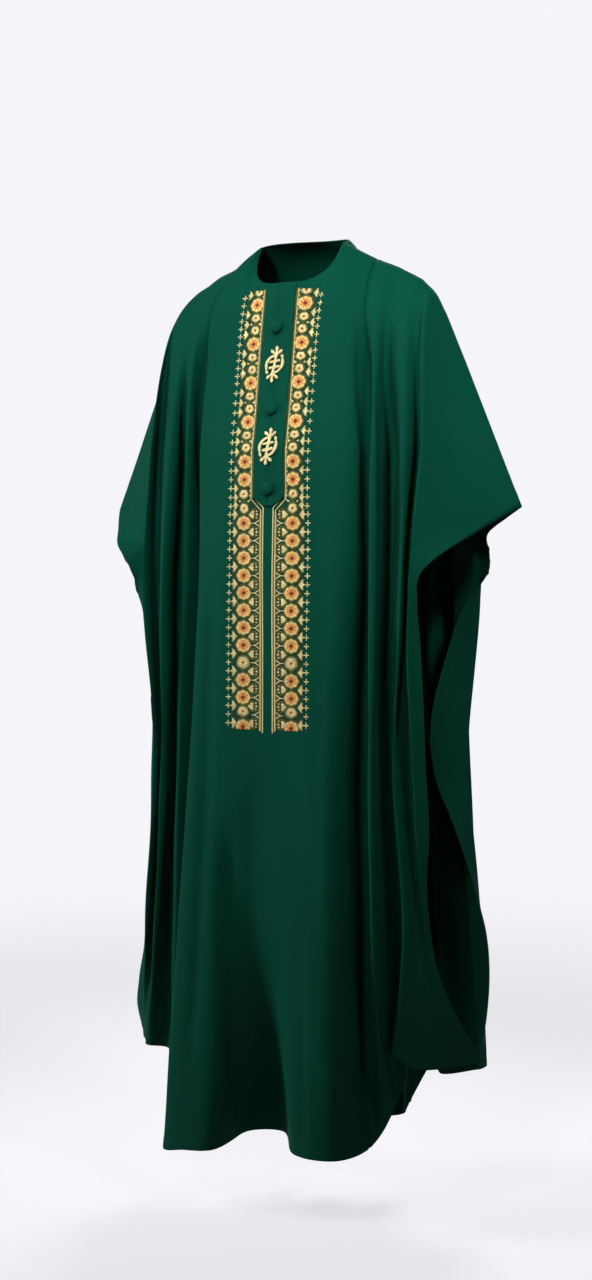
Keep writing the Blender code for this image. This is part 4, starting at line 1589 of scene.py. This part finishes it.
@dataclass
class EmbroideredBand:
    """One vertical band of embroidery beside the centre line; sizes in mm, heights above the floor.

    Shares are of the distance between two medallions. Those in between_shares are of the upper flower,
    the bud and the lower flower.
    """

    upper_medallions: Tuple[float, ...]
    lower_medallions: Tuple[float, ...]
    top: float
    turn: float
    bottom: float
    upper_axis: float = 43.5
    lower_axis: float = 43.5
    upper_border: Tuple[float, float] = (25.0, 31.0)
    lower_border: float = 9.6
    radius: float = 10.9
    upper_wide: float = 0.9
    lower_wide: float = 1.6
    arrow_axis: float = 59.2
    lower_arrow_axis: float = 60.5
    upper_cross: float = 69.0
    lower_cross: float = 70.5
    upper_arm: float = 4.8
    lower_arm: float = 4.9
    between_shares: Tuple[float, float, float] = (0.335, 0.49, 0.650)
    arrow_shares: Tuple[float, ...] = (-0.26, 0.24, 0.50, 0.76)
    turn_arrows: Tuple[float, ...] = (1197.2, 1168.6, 1154.4, 1142.0)
    turn_flowers: Tuple[float, float] = (1159.8, 1137.1)
    bud_axis: float = 35.0
    square_axis: float = 33.0
    square_step: float = 7.6
    fork_axis: float = 21.6
    tulip_axis: float = 27.4
    spike_axis: float = 19.4
    rosette_row: int = 8
    last_flower: float = 813.0
    half_medallion: float = 788.5
    ground_step: float = 1.55

    def medallion(self, work: Motif, x: float, y: float, wide: float) -> None:
        """Draw a round flower with a pale rim, warm petals and a dark star.

        Args:
            work: where it is drawn.
            x: its centre.
            y: its centre.
            wide: how far its side points reach past its radius.
        """
        def rim(angle: float) -> float:
            """Read the flower's outline."""
            return self.radius + wide * abs(math.cos(angle)) ** 3 + 0.6 * math.cos(8 * angle)

        centre, size = (x, y), self.radius
        petals, petal_half = 8, 0.05
        halo = [(*point, 2.8) for point in around(centre, lambda a: rim(a) + 1.4, 40)]
        work.satin(Thread.OLIVE, halo, pitch=0.85, width=1.15)
        work.rays(Thread.GOLD, centre, lambda a: 0.56 * size, rim, 84, 0.9, 0.10)
        work.rays(Thread.IVORY, centre, lambda a: rim(a) - 2.8, lambda a: rim(a) + 0.15, 60, 0.85, 0.28)
        work.rays(Thread.GOLD, centre, lambda a: 2.6, lambda a: 0.66 * size, 44, 0.9, 0.16)
        for k in range(petals):
            for turn in (-petal_half, petal_half):
                a = 2 * math.pi * (k + 0.5) / petals + turn
                inner, outer = polar(centre, 0.30 * size, a), polar(centre, 0.86 * size, a)
                work.stitch(Thread.AMBER, inner, outer, 0.95, 0.34)
        ring = around(centre, lambda a: (0.55 + 0.05 * math.cos(petals * a)) * size, 36)
        work.line(Thread.AMBER, ring, 0.8, 1.1, 0.30)
        work.rays(Thread.AMBER, centre, lambda a: 2.2, lambda a: 4.9 + 0.6 * math.cos(4 * a), 34, 0.85, 0.30)
        work.rays(Thread.DARK_RED, centre, lambda a: 0.0, lambda a: 3.2 + math.cos(4 * a), 30, 0.9, 0.42)

    def cross(self, work: Motif, x: float, y: float, arm: float) -> None:
        """Draw a plus sign of short thick stitches.

        Args:
            work: where it is drawn.
            x: its centre.
            y: its centre.
            arm: length of an arm.
        """
        for offset in (-0.42, 0.42):
            for a, b in ((-arm, -0.2), (0.2, arm)):
                work.stitch(Thread.IVORY, (x + a, y + offset), (x + b, y + offset), 0.85, 0.14)
                work.stitch(Thread.IVORY, (x + offset, y + a), (x + offset, y + b), 0.85, 0.10)

    def leaf(self, work: Motif, half: Sequence[Point], x: float, y: float, flip: float, scale: float,
             angle: float) -> None:
        """Draw a shape of two halves, each with its own stitch direction, and a dark outline.

        Args:
            work: where it is drawn.
            half: the upper half.
            x: where its middle goes.
            y: the height of its level line.
            flip: 1, or -1 where it points the other way.
            scale: its scale.
            angle: direction of the upper half's stitches, in degrees.
        """
        halo = 1.16
        upper = moved(half, x, y, flip, scale)
        lower = [(a, 2 * y - b) for a, b in upper]
        outline = [(x + (a - x) * halo, y + (b - y) * halo) for a, b in upper + lower[::-1]]
        work.line(Thread.OLIVE, outline, 1.5, 1.8)
        work.fill(Thread.IVORY, upper, angle * flip, layer=0.14)
        work.fill(Thread.IVORY, lower, -angle * flip, layer=0.14)

    def flower(self, work: Motif, x: float, y: float, wide: float, tall: float) -> None:
        """Draw a small flower with a dark heart.

        Args:
            work: where it is drawn.
            x: its centre.
            y: its centre.
            wide: half its width.
            tall: half its height.
        """
        def rim(angle: float) -> float:
            """Read the flower's outline."""
            oval = 1 / math.hypot(math.cos(angle) / wide, math.sin(angle) / tall)
            return oval + 0.5 * math.cos(5 * angle + 1.57)

        centre = (x, y)
        work.line(Thread.OLIVE, around(centre, lambda a: rim(a) + 1.2, 24), 2.3, 2.0)
        work.rays(Thread.IVORY, centre, lambda a: 2.2, rim, 40, 0.95, 0.12)
        work.rays(Thread.GOLD, centre, lambda a: 1.6, lambda a: 0.62 * rim(a), 26, 0.85, 0.26)
        work.rays(Thread.DARK_RED, centre, lambda a: 0.2, lambda a: 1.7 + 0.4 * math.cos(3 * a), 10,
                  0.9, 0.38)

    def fork(self, work: Motif, y: float) -> None:
        """Draw a fork whose arms point at the border and whose stem points at the medallion.

        Args:
            work: where it is drawn.
            y: its centre.
        """
        x = self.fork_axis
        work.satin(Thread.IVORY, [(x + 6.6, y, 1.3), (x + 0.5, y, 2.0)], layer=0.14)
        for turn in (-1, 1):
            work.satin(Thread.IVORY, [(x + 1.6, y + turn * 0.5, 1.5), (x - 2.6, y + turn * 2.2, 2.1),
                                      (x - 6.0, y + turn * 5.4, 1.8)], layer=0.16)

    def hourglass(self, work: Motif, x: float, top: float, bottom: float) -> None:
        """Draw two small flowers one above the other, with dark lines that cross between them.

        Args:
            work: where it is drawn.
            x: its centre.
            top: height of the upper flower.
            bottom: height of the lower flower.
        """
        gap, middle = top - bottom, (top + bottom) / 2
        self.flower(work, x + 0.5, top, 8.2, 0.29 * gap + 0.4)
        self.flower(work, x - 0.5, bottom, 7.8, 0.33 * gap + 0.4)
        for turn in (-1, 1):
            ends = [(x - turn * 9.6, top - 0.10 * gap), (x + turn * 9.6, bottom + 0.10 * gap)]
            work.line(Thread.OLIVE, ends, 2.0, 1.8)
            wedge = [(x + turn * 5.6, middle, 0.8), (x + turn * 9.4, middle, 4.2)]
            work.satin(Thread.IVORY, wedge, layer=0.12)

    def clip(self, work: Motif) -> None:
        """Take out the stitches that pass the band's top and bottom edges.

        Args:
            work: the drawing.
        """
        lowest = self.bottom + 4.5
        for thread, rows in work.drawn.items():
            work.drawn[thread] = [row for row in rows
                                  if min(row[1], row[3]) > lowest and max(row[1], row[3]) < self.top]

    def upper_part(self, work: Motif) -> None:
        """Draw the band beside the placket.

        Args:
            work: where it is drawn.
        """
        axis, marks = self.upper_axis, self.upper_medallions
        pitch = marks[0] - marks[1]
        high, middle, low = self.between_shares
        for y in marks:
            self.medallion(work, axis, y, self.upper_wide)
        for y in marks[:-2]:
            self.hourglass(work, axis - 0.5, y - high * pitch, y - low * pitch)
            self.leaf(work, BUD, self.bud_axis, y - middle * pitch, -1, 0.9, 60)
        self.hourglass(work, axis, *self.turn_flowers)
        self.flower(work, axis - 0.5, marks[0] + high * pitch, 8.0, 6.4)
        for start, end, step in ((marks[0] + 25.1, marks[2], pitch / 5), (marks[2], marks[4], pitch / 4),
                                 (marks[4], self.lower_medallions[0] + 18, 14.2)):
            for y in np.arange(start, end + 2, -step):
                self.cross(work, self.upper_cross, y, self.upper_arm)
        arrows = [m - share * pitch for m in marks[:4] for share in self.arrow_shares]
        for y in sorted(set(np.round(arrows, 1)) | set(self.turn_arrows)):
            if min(abs(y - m) for m in marks) > 0.12 * pitch and y < self.top - 6:
                self.leaf(work, ARROW, self.arrow_axis, y, 1, 0.80, 38)
        for y in np.arange(self.turn + 12, self.top - 3, self.square_step):
            work.fill(Thread.IVORY, moved(SQUARE, self.square_axis, y), layer=0.1)

    def between(self, work: Motif, y: float) -> None:
        """Draw what lies between two medallions of the lower band.

        Args:
            work: where it is drawn.
            y: the middle between them.
        """
        self.leaf(work, ARROW, self.lower_arrow_axis, y, 1, 0.92, 38)
        self.leaf(work, TULIP, self.tulip_axis, y, -1, 0.94, 40)
        self.leaf(work, SPIKE, self.spike_axis, y, -1, 1.0, 60)
        for turn in (-1, 1):
            work.rays(Thread.DARK_RED, (22.6, y + turn * 2.9), lambda a: 0.1, lambda a: 1.1, 6, 0.8, 0.30)
            work.rays(Thread.IVORY, (20.6, y + turn * 4.9), lambda a: 0.1, lambda a: 1.5, 7, 0.8, 0.2)
            curl = ((36.4, 3.0), (32.0, 5.4), (26.6, 8.6), (22.0, 8.8), (17.4, 4.6))
            work.line(Thread.OLIVE, [(x, y + turn * reach) for x, reach in curl], 1.8, 1.8)
        self.cross(work, self.lower_cross, y, self.lower_arm)

    def lower_part(self, work: Motif) -> None:
        """Draw the band below the placket.

        Args:
            work: where it is drawn.
        """
        axis, rows = self.lower_axis, self.lower_medallions
        pitch = (rows[0] - rows[-1]) / (len(rows) - 1)
        for k, y in enumerate(rows):
            if k == self.rosette_row:
                self.flower(work, axis, y, 11.6, 10.2)
            else:
                self.medallion(work, axis, y, self.lower_wide)
            self.fork(work, y)
            work.satin(Thread.IVORY, [(28.0, y, 1.2), (30.2, y, 1.2)])
            self.cross(work, self.lower_cross, y, self.lower_arm)
        self.flower(work, axis, self.last_flower, 10.2, 8.0)
        self.medallion(work, axis, self.half_medallion, self.lower_wide)
        self.fork(work, rows[-1] - pitch)
        self.cross(work, self.lower_cross, rows[-1] - pitch, self.lower_arm)
        for y in [rows[0] + pitch / 2] + [y - pitch / 2 for y in rows] + [rows[-1] - 1.5 * pitch]:
            self.between(work, y)

    def borders(self, work: Motif) -> None:
        """Draw the cords: double beside the placket, then one broad cord near the centre line.

        Args:
            work: where they are drawn.
        """
        near, far = self.upper_border
        corner = self.turn + (near - self.lower_border) * 1.05
        inner, beads = self.lower_border - 0.8, self.lower_border + 3.6
        for x, end in ((near, corner), (far, corner - 2.0)):
            work.satin(Thread.IVORY, [(x, self.top, 1.6), (x, end, 1.6)], pitch=0.8, layer=0.25, slant=0.35)
        for x, top, end, wide, pitch in (((near + far) / 2, self.top, corner, 3.6, 0.85),
                                         (near - 1.8, self.top, corner, 1.6, 0.95),
                                         (far + 1.8, self.top, corner - 4, 1.6, 0.95)):
            work.satin(Thread.OLIVE, [(x, top, wide), (x, end, wide)], pitch=pitch)
        work.satin(Thread.IVORY, [(near, corner, 1.6), (inner, self.turn, 1.8), (inner, self.turn - 6, 1.9),
                                  (inner, self.bottom, 1.9)], pitch=0.8, layer=0.25, slant=0.5)
        work.satin(Thread.IVORY, [(far, corner - 2, 1.6), (beads, self.turn - 4, 1.8),
                                  (beads, self.turn - 10, 2.5), (beads, self.bottom + 3, 2.5)],
                   pitch=1.15, width=1.0, layer=0.25)
        for x, top, end in ((beads - 2.0, self.turn - 5, self.bottom),
                            (beads + 2.3, self.turn - 12, self.bottom + 4)):
            work.satin(Thread.OLIVE, [(x, top, 1.8), (x, end, 1.8)], pitch=0.9)

    def ground(self, work: Motif) -> None:
        """Draw loose dark stitches between the motifs, under everything else.

        Args:
            work: where they are drawn.
        """
        for x0, x1, top, bottom in (
                (self.upper_border[1] + 2, self.upper_cross - 6, self.top - 1, self.turn + 16),
                (self.lower_border + 7, self.lower_cross - 6, self.turn + 14, self.bottom + 5)):
            for y in np.arange(top, bottom, -self.ground_step):
                steps = np.linspace(x0, x1, 5)
                shift = work.rng.uniform(-1.2, 1.2)
                for a, b in zip(steps[:-1], steps[1:]):
                    work.stitch(Thread.MOSS, (a + shift * (a > x0), y), (b + shift * (b < x1), y), 0.8, -0.12)

    def build(self, surface: FrontSurface, finishes: Finishes) -> None:
        """Draw the band once and sew it on both sides.

        Args:
            surface: the front panel's surface.
            finishes: the shared materials.
        """
        work = Motif()
        self.ground(work)
        self.upper_part(work)
        self.lower_part(work)
        self.clip(work)
        self.borders(work)
        for side, name in ((-1, "right_band"), (1, "left_band")):
            work.lay(surface, name, side, 0.0, finishes)


class Stroke(NamedTuple):
    """One stroke of the placket's symbol: the spine segment and edge that it grows from, and its points."""

    root: int
    side: int
    points: tuple


@dataclass
class PlacketSymbol:
    """A raised satin-stitched symbol; its lower half is its upper half turned round."""

    node: str
    height: float
    thickness: float = 0.0016
    merge: float = 0.00002
    sink: float = 0.0001
    root_half: float = 1.4
    past_edge: float = 0.3
    layer: float = 0.12
    pitch: float = 0.62
    thread: float = 0.85
    slant: float = 0.25
    tip_share: float = 0.42
    spine: tuple = ((0.0, 0.0, 2.1), (0.5, 3.2, 2.1), (1.0, 6.6, 2.1), (1.7, 10.6, 2.0), (2.4, 14.4, 2.3),
                    (2.8, 17.4, 1.9), (3.0, 19.8, 1.4))
    strokes: tuple = (
        Stroke(3, -1, ((-3.2, 13.2, 1.6), (-7.4, 10.8, 1.9), (-11.2, 7.2, 2.0), (-13.8, 2.6, 2.3),
                       (-14.6, -2.4, 2.3), (-14.2, -6.8, 1.8), (-13.6, -9.4, 0.9),
                       (-13.2, -12.0, 2.4), (-12.4, -14.6, 1.4))),
        Stroke(1, -1, ((-4.6, 4.2, 1.6), (-8.2, 3.2, 1.8))),
        Stroke(1, 1, ((5.4, 5.4, 1.6), (8.6, 6.2, 1.8))),
        Stroke(4, -1, ((-2.4, 18.4, 1.5), (-4.6, 20.4, 2.7), (-6.6, 22.2, 1.6))),
        Stroke(4, 1, ((7.4, 18.4, 1.5), (9.8, 20.4, 2.7), (11.8, 22.2, 1.6))),
        Stroke(6, 0, ((3.1, 22.4, 1.5), (3.2, 25.2, 2.9), (3.3, 28.0, 1.7))))

    def build(self, surface: FrontSurface, lift: float, frame: dict, finishes: Finishes) -> bpy.types.Object:
        """Pad the symbol and cover it with satin stitches.

        Args:
            surface: the front panel's surface.
            lift: how far the placket stands off it.
            frame: the loaded CAD frame.
            finishes: the shared materials.

        Returns:
            The padding, in thread colour.
        """
        select(frame["nodes"][self.node])
        bpy.ops.object.duplicate(linked=False)
        piece = bpy.context.active_object
        piece.name = "padding_" + self.node
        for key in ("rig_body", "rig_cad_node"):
            if key in piece:
                del piece[key]
        piece.parent = None
        bpy.ops.object.mode_set(mode="EDIT")
        bpy.ops.mesh.select_all(action="SELECT")
        bpy.ops.mesh.remove_doubles(threshold=self.merge)
        bpy.ops.object.mode_set(mode="OBJECT")
        piece.data.materials.clear()
        piece.data.materials.append(finishes.get(ThreadFinish(Thread.IVORY)))
        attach(piece, "root")
        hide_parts(self.node)
        work = Motif(23)
        for turn in (1, -1):
            lines = [[(x, y, half) for x, y, half in self.spine]]
            for stroke in self.strokes:
                k = stroke.root
                a, b = self.spine[k], self.spine[min(k + 1, len(self.spine) - 1)]
                root = ((a[0] + b[0]) / 2, (a[1] + b[1]) / 2, self.root_half)
                lines.append([root] + list(stroke.points))
            for path in lines:
                placed = [(turn * x, turn * y, 2 * half + self.past_edge) for x, y, half in path]
                work.satin(Thread.IVORY, placed, self.pitch, self.thread, self.layer, self.slant)
                tip = placed[-1]
                end = tip[2] * self.tip_share
                work.rays(Thread.IVORY, tip[:2], lambda a: 0.0, lambda a, end=end: end, 8, 0.8, 0.05)
        shifted = Motif(24)
        shifted.drawn = {thread: [(a, b + self.height / MM, c, d + self.height / MM, w, l)
                                  for a, b, c, d, w, l in rows] for thread, rows in work.drawn.items()}
        base = lift + CUT.seam_gap + self.thickness - self.sink
        shifted.lay(surface, "satin_" + self.node, 1, base, finishes)
        return piece


class Softbox(NamedTuple):
    """A studio light aimed at the robe: place and aim in metres, size, power and spread in degrees."""

    name: str
    place: Tuple[float, float, float]
    aim: Tuple[float, float, float]
    size: float
    power: float
    spread: float


@dataclass
class Studio:
    """Pale floor, soft lights and the camera."""

    floor_height: float = -1.5
    floor_colour: Tuple[float, float, float] = (0.36, 0.358, 0.372)
    floor_rough: float = 0.7
    floor_specular: float = 0.1
    floor_end: float = 0.95
    floor_corners: int = 96
    floor_radius: float = 4.2
    floor_solid: float = 1.3
    backdrop: Tuple[float, float, float] = (0.915, 0.908, 0.955)
    floor_glow: float = 0.765
    ambient: float = 0.06
    ambient_colour: Tuple[float, float, float] = (0.96, 0.98, 1.0)
    eye: Tuple[float, float, float] = (1.9486, -3.7207, -0.41)
    azimuth: float = 28.0
    tilt: float = 2.284
    lens: float = 71.92
    sensor: float = 36.0
    lights: Tuple[Softbox, ...] = (
        Softbox("side", (-3.0, -1.5, 0.3), (0.0, 0.0, -0.75), 1.0, 12.8, 70),
        Softbox("front", (0.5, -2.4, 1.9), (0.15, -0.1, 0.05), 0.8, 4.3, 34),
        Softbox("fill", (2.2, -1.2, 1.9), (0.36, 0.0, -0.05), 0.8, 1.7, 26),
        Softbox("back", (-0.9, 3.0, 1.4), (0.0, 0.0, -0.5), 1.2, 10.0, 60))

    def floor(self) -> bpy.types.Object:
        """Make a round pale floor that fades into the backdrop.

        Returns:
            The floor.
        """
        deselect()
        bpy.ops.mesh.primitive_circle_add(vertices=self.floor_corners, radius=self.floor_radius,
                                          fill_type="NGON")
        floor = bpy.context.active_object
        floor.name = "floor"
        bpy.ops.object.mode_set(mode="EDIT")
        bpy.ops.mesh.select_all(action="SELECT")
        bpy.ops.transform.translate(value=(0, 0, self.floor_height))
        bpy.ops.object.mode_set(mode="OBJECT")
        shading = Shading("pale_floor", self.floor_rough, specular=self.floor_specular)
        shading.shader.inputs["Base Color"].default_value = (*self.floor_colour, 1)
        shading.shader.inputs["Emission Color"].default_value = (*self.backdrop, 1)
        shading.shader.inputs["Emission Strength"].default_value = self.floor_glow
        x, y, _ = shading.parts(shading.coordinates("Object"))
        reach, end = (x * x + y * y) ** 0.5, self.floor_radius * self.floor_end
        fade = shading.node("ShaderNodeMapRange", {"interpolation_type": "SMOOTHSTEP"},
                            {0: reach, 1: self.floor_solid, 2: end, 3: 1.0, 4: 0.0})
        shading.tree.links.new(fade.outputs[0], shading.shader.inputs["Alpha"])
        floor.data.materials.append(shading.material)
        floor.visible_diffuse = False
        return floor

    def sky(self) -> None:
        """Make a pale backdrop that lights the robe less than it shows."""
        world = bpy.data.worlds.new("studio")
        bpy.context.scene.world = world
        world.use_nodes = True
        nodes, links = world.node_tree.nodes, world.node_tree.links
        seen = nodes["Background"]
        seen.inputs["Color"].default_value = (*self.backdrop, 1)
        glow = nodes.new("ShaderNodeBackground")
        glow.inputs["Color"].default_value = (*self.ambient_colour, 1)
        glow.inputs["Strength"].default_value = self.ambient
        choice, path = nodes.new("ShaderNodeMixShader"), nodes.new("ShaderNodeLightPath")
        links.new(path.outputs["Is Camera Ray"], choice.inputs[0])
        links.new(glow.outputs[0], choice.inputs[1])
        links.new(seen.outputs[0], choice.inputs[2])
        links.new(choice.outputs[0], nodes["World Output"].inputs["Surface"])

    def build(self) -> None:
        """Set the stage."""
        self.floor()
        self.sky()
        for box in self.lights:
            light = bpy.data.lights.new(box.name, "AREA")
            light.size, light.energy, light.spread = box.size, box.power, math.radians(box.spread)
            lamp = bpy.data.objects.new(box.name, light)
            lamp.location = box.place
            lamp.rotation_euler = (Vector(box.aim) - Vector(box.place)).to_track_quat("-Z", "Y").to_euler()
            bpy.context.scene.collection.objects.link(lamp)
        camera = bpy.data.cameras.new("camera")
        camera.lens, camera.sensor_width, camera.sensor_height = self.lens, self.sensor, self.sensor
        camera.sensor_fit = "VERTICAL"
        holder = bpy.data.objects.new("camera", camera)
        holder.location = self.eye
        holder.rotation_euler = (math.radians(90 - self.tilt), 0, math.radians(self.azimuth))
        bpy.context.scene.collection.objects.link(holder)
        bpy.context.scene.camera = holder
        bpy.context.scene.view_settings.view_transform = "Standard"


FRONT_CREASES = (
    Crease(6.0, 6.0, 1.47, 0.25, 12, -10.0),
    Crease(1.5, 2.2, 1.44, 1.05, 10, -4.0),
    Crease(3.3, 3.2, 1.32, 0.40, 7, 3.0),
    Crease(4.0, 4.2, 1.38, 0.35, 10, -6.0),
    Crease(7.6, 7.9, 1.05, 0.20, 12, -4.0),
    Crease(8.7, 10.1, 0.66, -0.04, 21, -11.0),
    Crease(12.6, 12.4, 0.55, 0.02, 12, -3.0),
    Crease(15.0, 15.0, 1.47, 0.15, 14, -14.0),
    Crease(16.0, 16.05, 1.33, 0.75, 8, 4.0),
    Crease(17.1, 16.7, 1.47, 0.80, 8, -5.0),
    Crease(17.9, 17.5, 1.02, 0.35, 9, -6.0),
    Crease(19.4, 18.9, 1.49, 1.08, 6, -5.0),
    Crease(18.9, 18.3, 1.30, 0.70, 9, -6.0),
    Crease(16.1, 16.4, 0.38, 0.18, 7, -4.0),
    Crease(16.3, 18.7, 0.345, 0.258, 7, -3.5))
BACK_CREASES = (
    Crease(6.0, 6.0, 1.47, 0.25, 9, -6.0),
    Crease(12.0, 12.0, 1.47, 0.20, 10, -7.0),
    Crease(8.9, 9.1, 1.42, 0.02, 16, -6.0),
    Crease(7.5, 7.3, 1.28, 0.10, 11, -4.0),
    Crease(10.4, 10.7, 1.15, -0.02, 12, -5.0),
    Crease(4.0, 4.1, 1.38, 0.35, 9, -5.0),
    Crease(14.0, 13.9, 1.40, 0.40, 10, -6.0),
    Crease(4.8, 4.9, 1.22, 0.55, 7, 3.0),
    Crease(13.3, 13.1, 1.30, 0.50, 7, 3.0),
    Crease(2.4, 2.2, 1.40, 0.90, 9, -4.0),
    Crease(15.7, 16.0, 1.42, 1.00, 8, -5.0))


SEAM_ALONG = 122


def robe_panels() -> Dict[str, ClothPanel]:
    """Lay out the six panels of the robe.

    Returns:
        The panels by the names of their CAD nodes.
    """
    front = Drape(Facing.FRONT, FRONT_FOLDS, FRONT_RIGHT_EDGE, FRONT_LEFT_EDGE, FRONT_CREASES, 7)
    right_edge = tuple((h, -x, y) for h, x, y in BACK_LEFT_EDGE)
    folds = [mirrored(fold) for fold in reversed(BACK_HALF[1:])] + list(BACK_HALF)
    back = Drape(Facing.BACK, folds, right_edge, BACK_LEFT_EDGE, BACK_CREASES, 9)

    def seams(drape: Drape) -> Tuple[int, int]:
        """Find the fold lines of the two panel seams."""
        marks = [k + 1 for k, fold in enumerate(drape.folds) if abs(fold.along) == SEAM_ALONG]
        return marks[0], marks[1]

    (fa, fb), (ba, bb) = seams(front), seams(back)
    panels = (ClothPanel("front_centre_panel", front, fa, fb, (0.70, 1.46), 0.65),
              ClothPanel("right_front_wing", front, 0, fa, (0.55, 1.41), 0.39),
              ClothPanel("left_front_wing", front, fb, front.lines - 1, (0.55, 1.46), 0.45),
              ClothPanel("back_centre_panel", back, ba, bb, (0.40, 1.48), 0.52),
              ClothPanel("right_back_wing", back, 0, ba, (0.55, 1.44), 0.44),
              ClothPanel("left_back_wing", back, bb, back.lines - 1, (0.55, 1.44), 0.44))
    return {panel.node: panel for panel in panels}


BUTTON_HEIGHTS = (1.426, 1.295, 1.168)
SYMBOL_HEIGHTS = (1.366, 1.235)
BAND = EmbroideredBand(
    upper_medallions=(1463.5, 1400.2, 1337.6, 1275.0, 1211.5, 1182.8),
    lower_medallions=tuple(1113.5 - 27.8 * k for k in range(11)),
    top=1488.0, turn=1138.0, bottom=779.0)


def main() -> None:
    """Build the robe's looks."""
    logging.basicConfig(level=logging.INFO, format="%(message)s")
    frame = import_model()
    finishes = Finishes()
    panels = robe_panels()
    for panel in panels.values():
        panel.build(finishes)
    surface = FrontSurface(panels["front_centre_panel"])
    placket = Placket(surface)
    placket.build(finishes, BUTTON_HEIGHTS)
    for k, height in enumerate(BUTTON_HEIGHTS, start=1):
        CoveredButton(f"button_{k}", height).build(surface, placket.top_lift(), finishes)
    for k, height in enumerate(SYMBOL_HEIGHTS, start=1):
        PlacketSymbol(f"symbol_{k}", height).build(surface, placket.top_lift(), frame, finishes)
    BAND.build(surface, finishes)
    Studio().build()


if __name__ == "__main__":
    main()
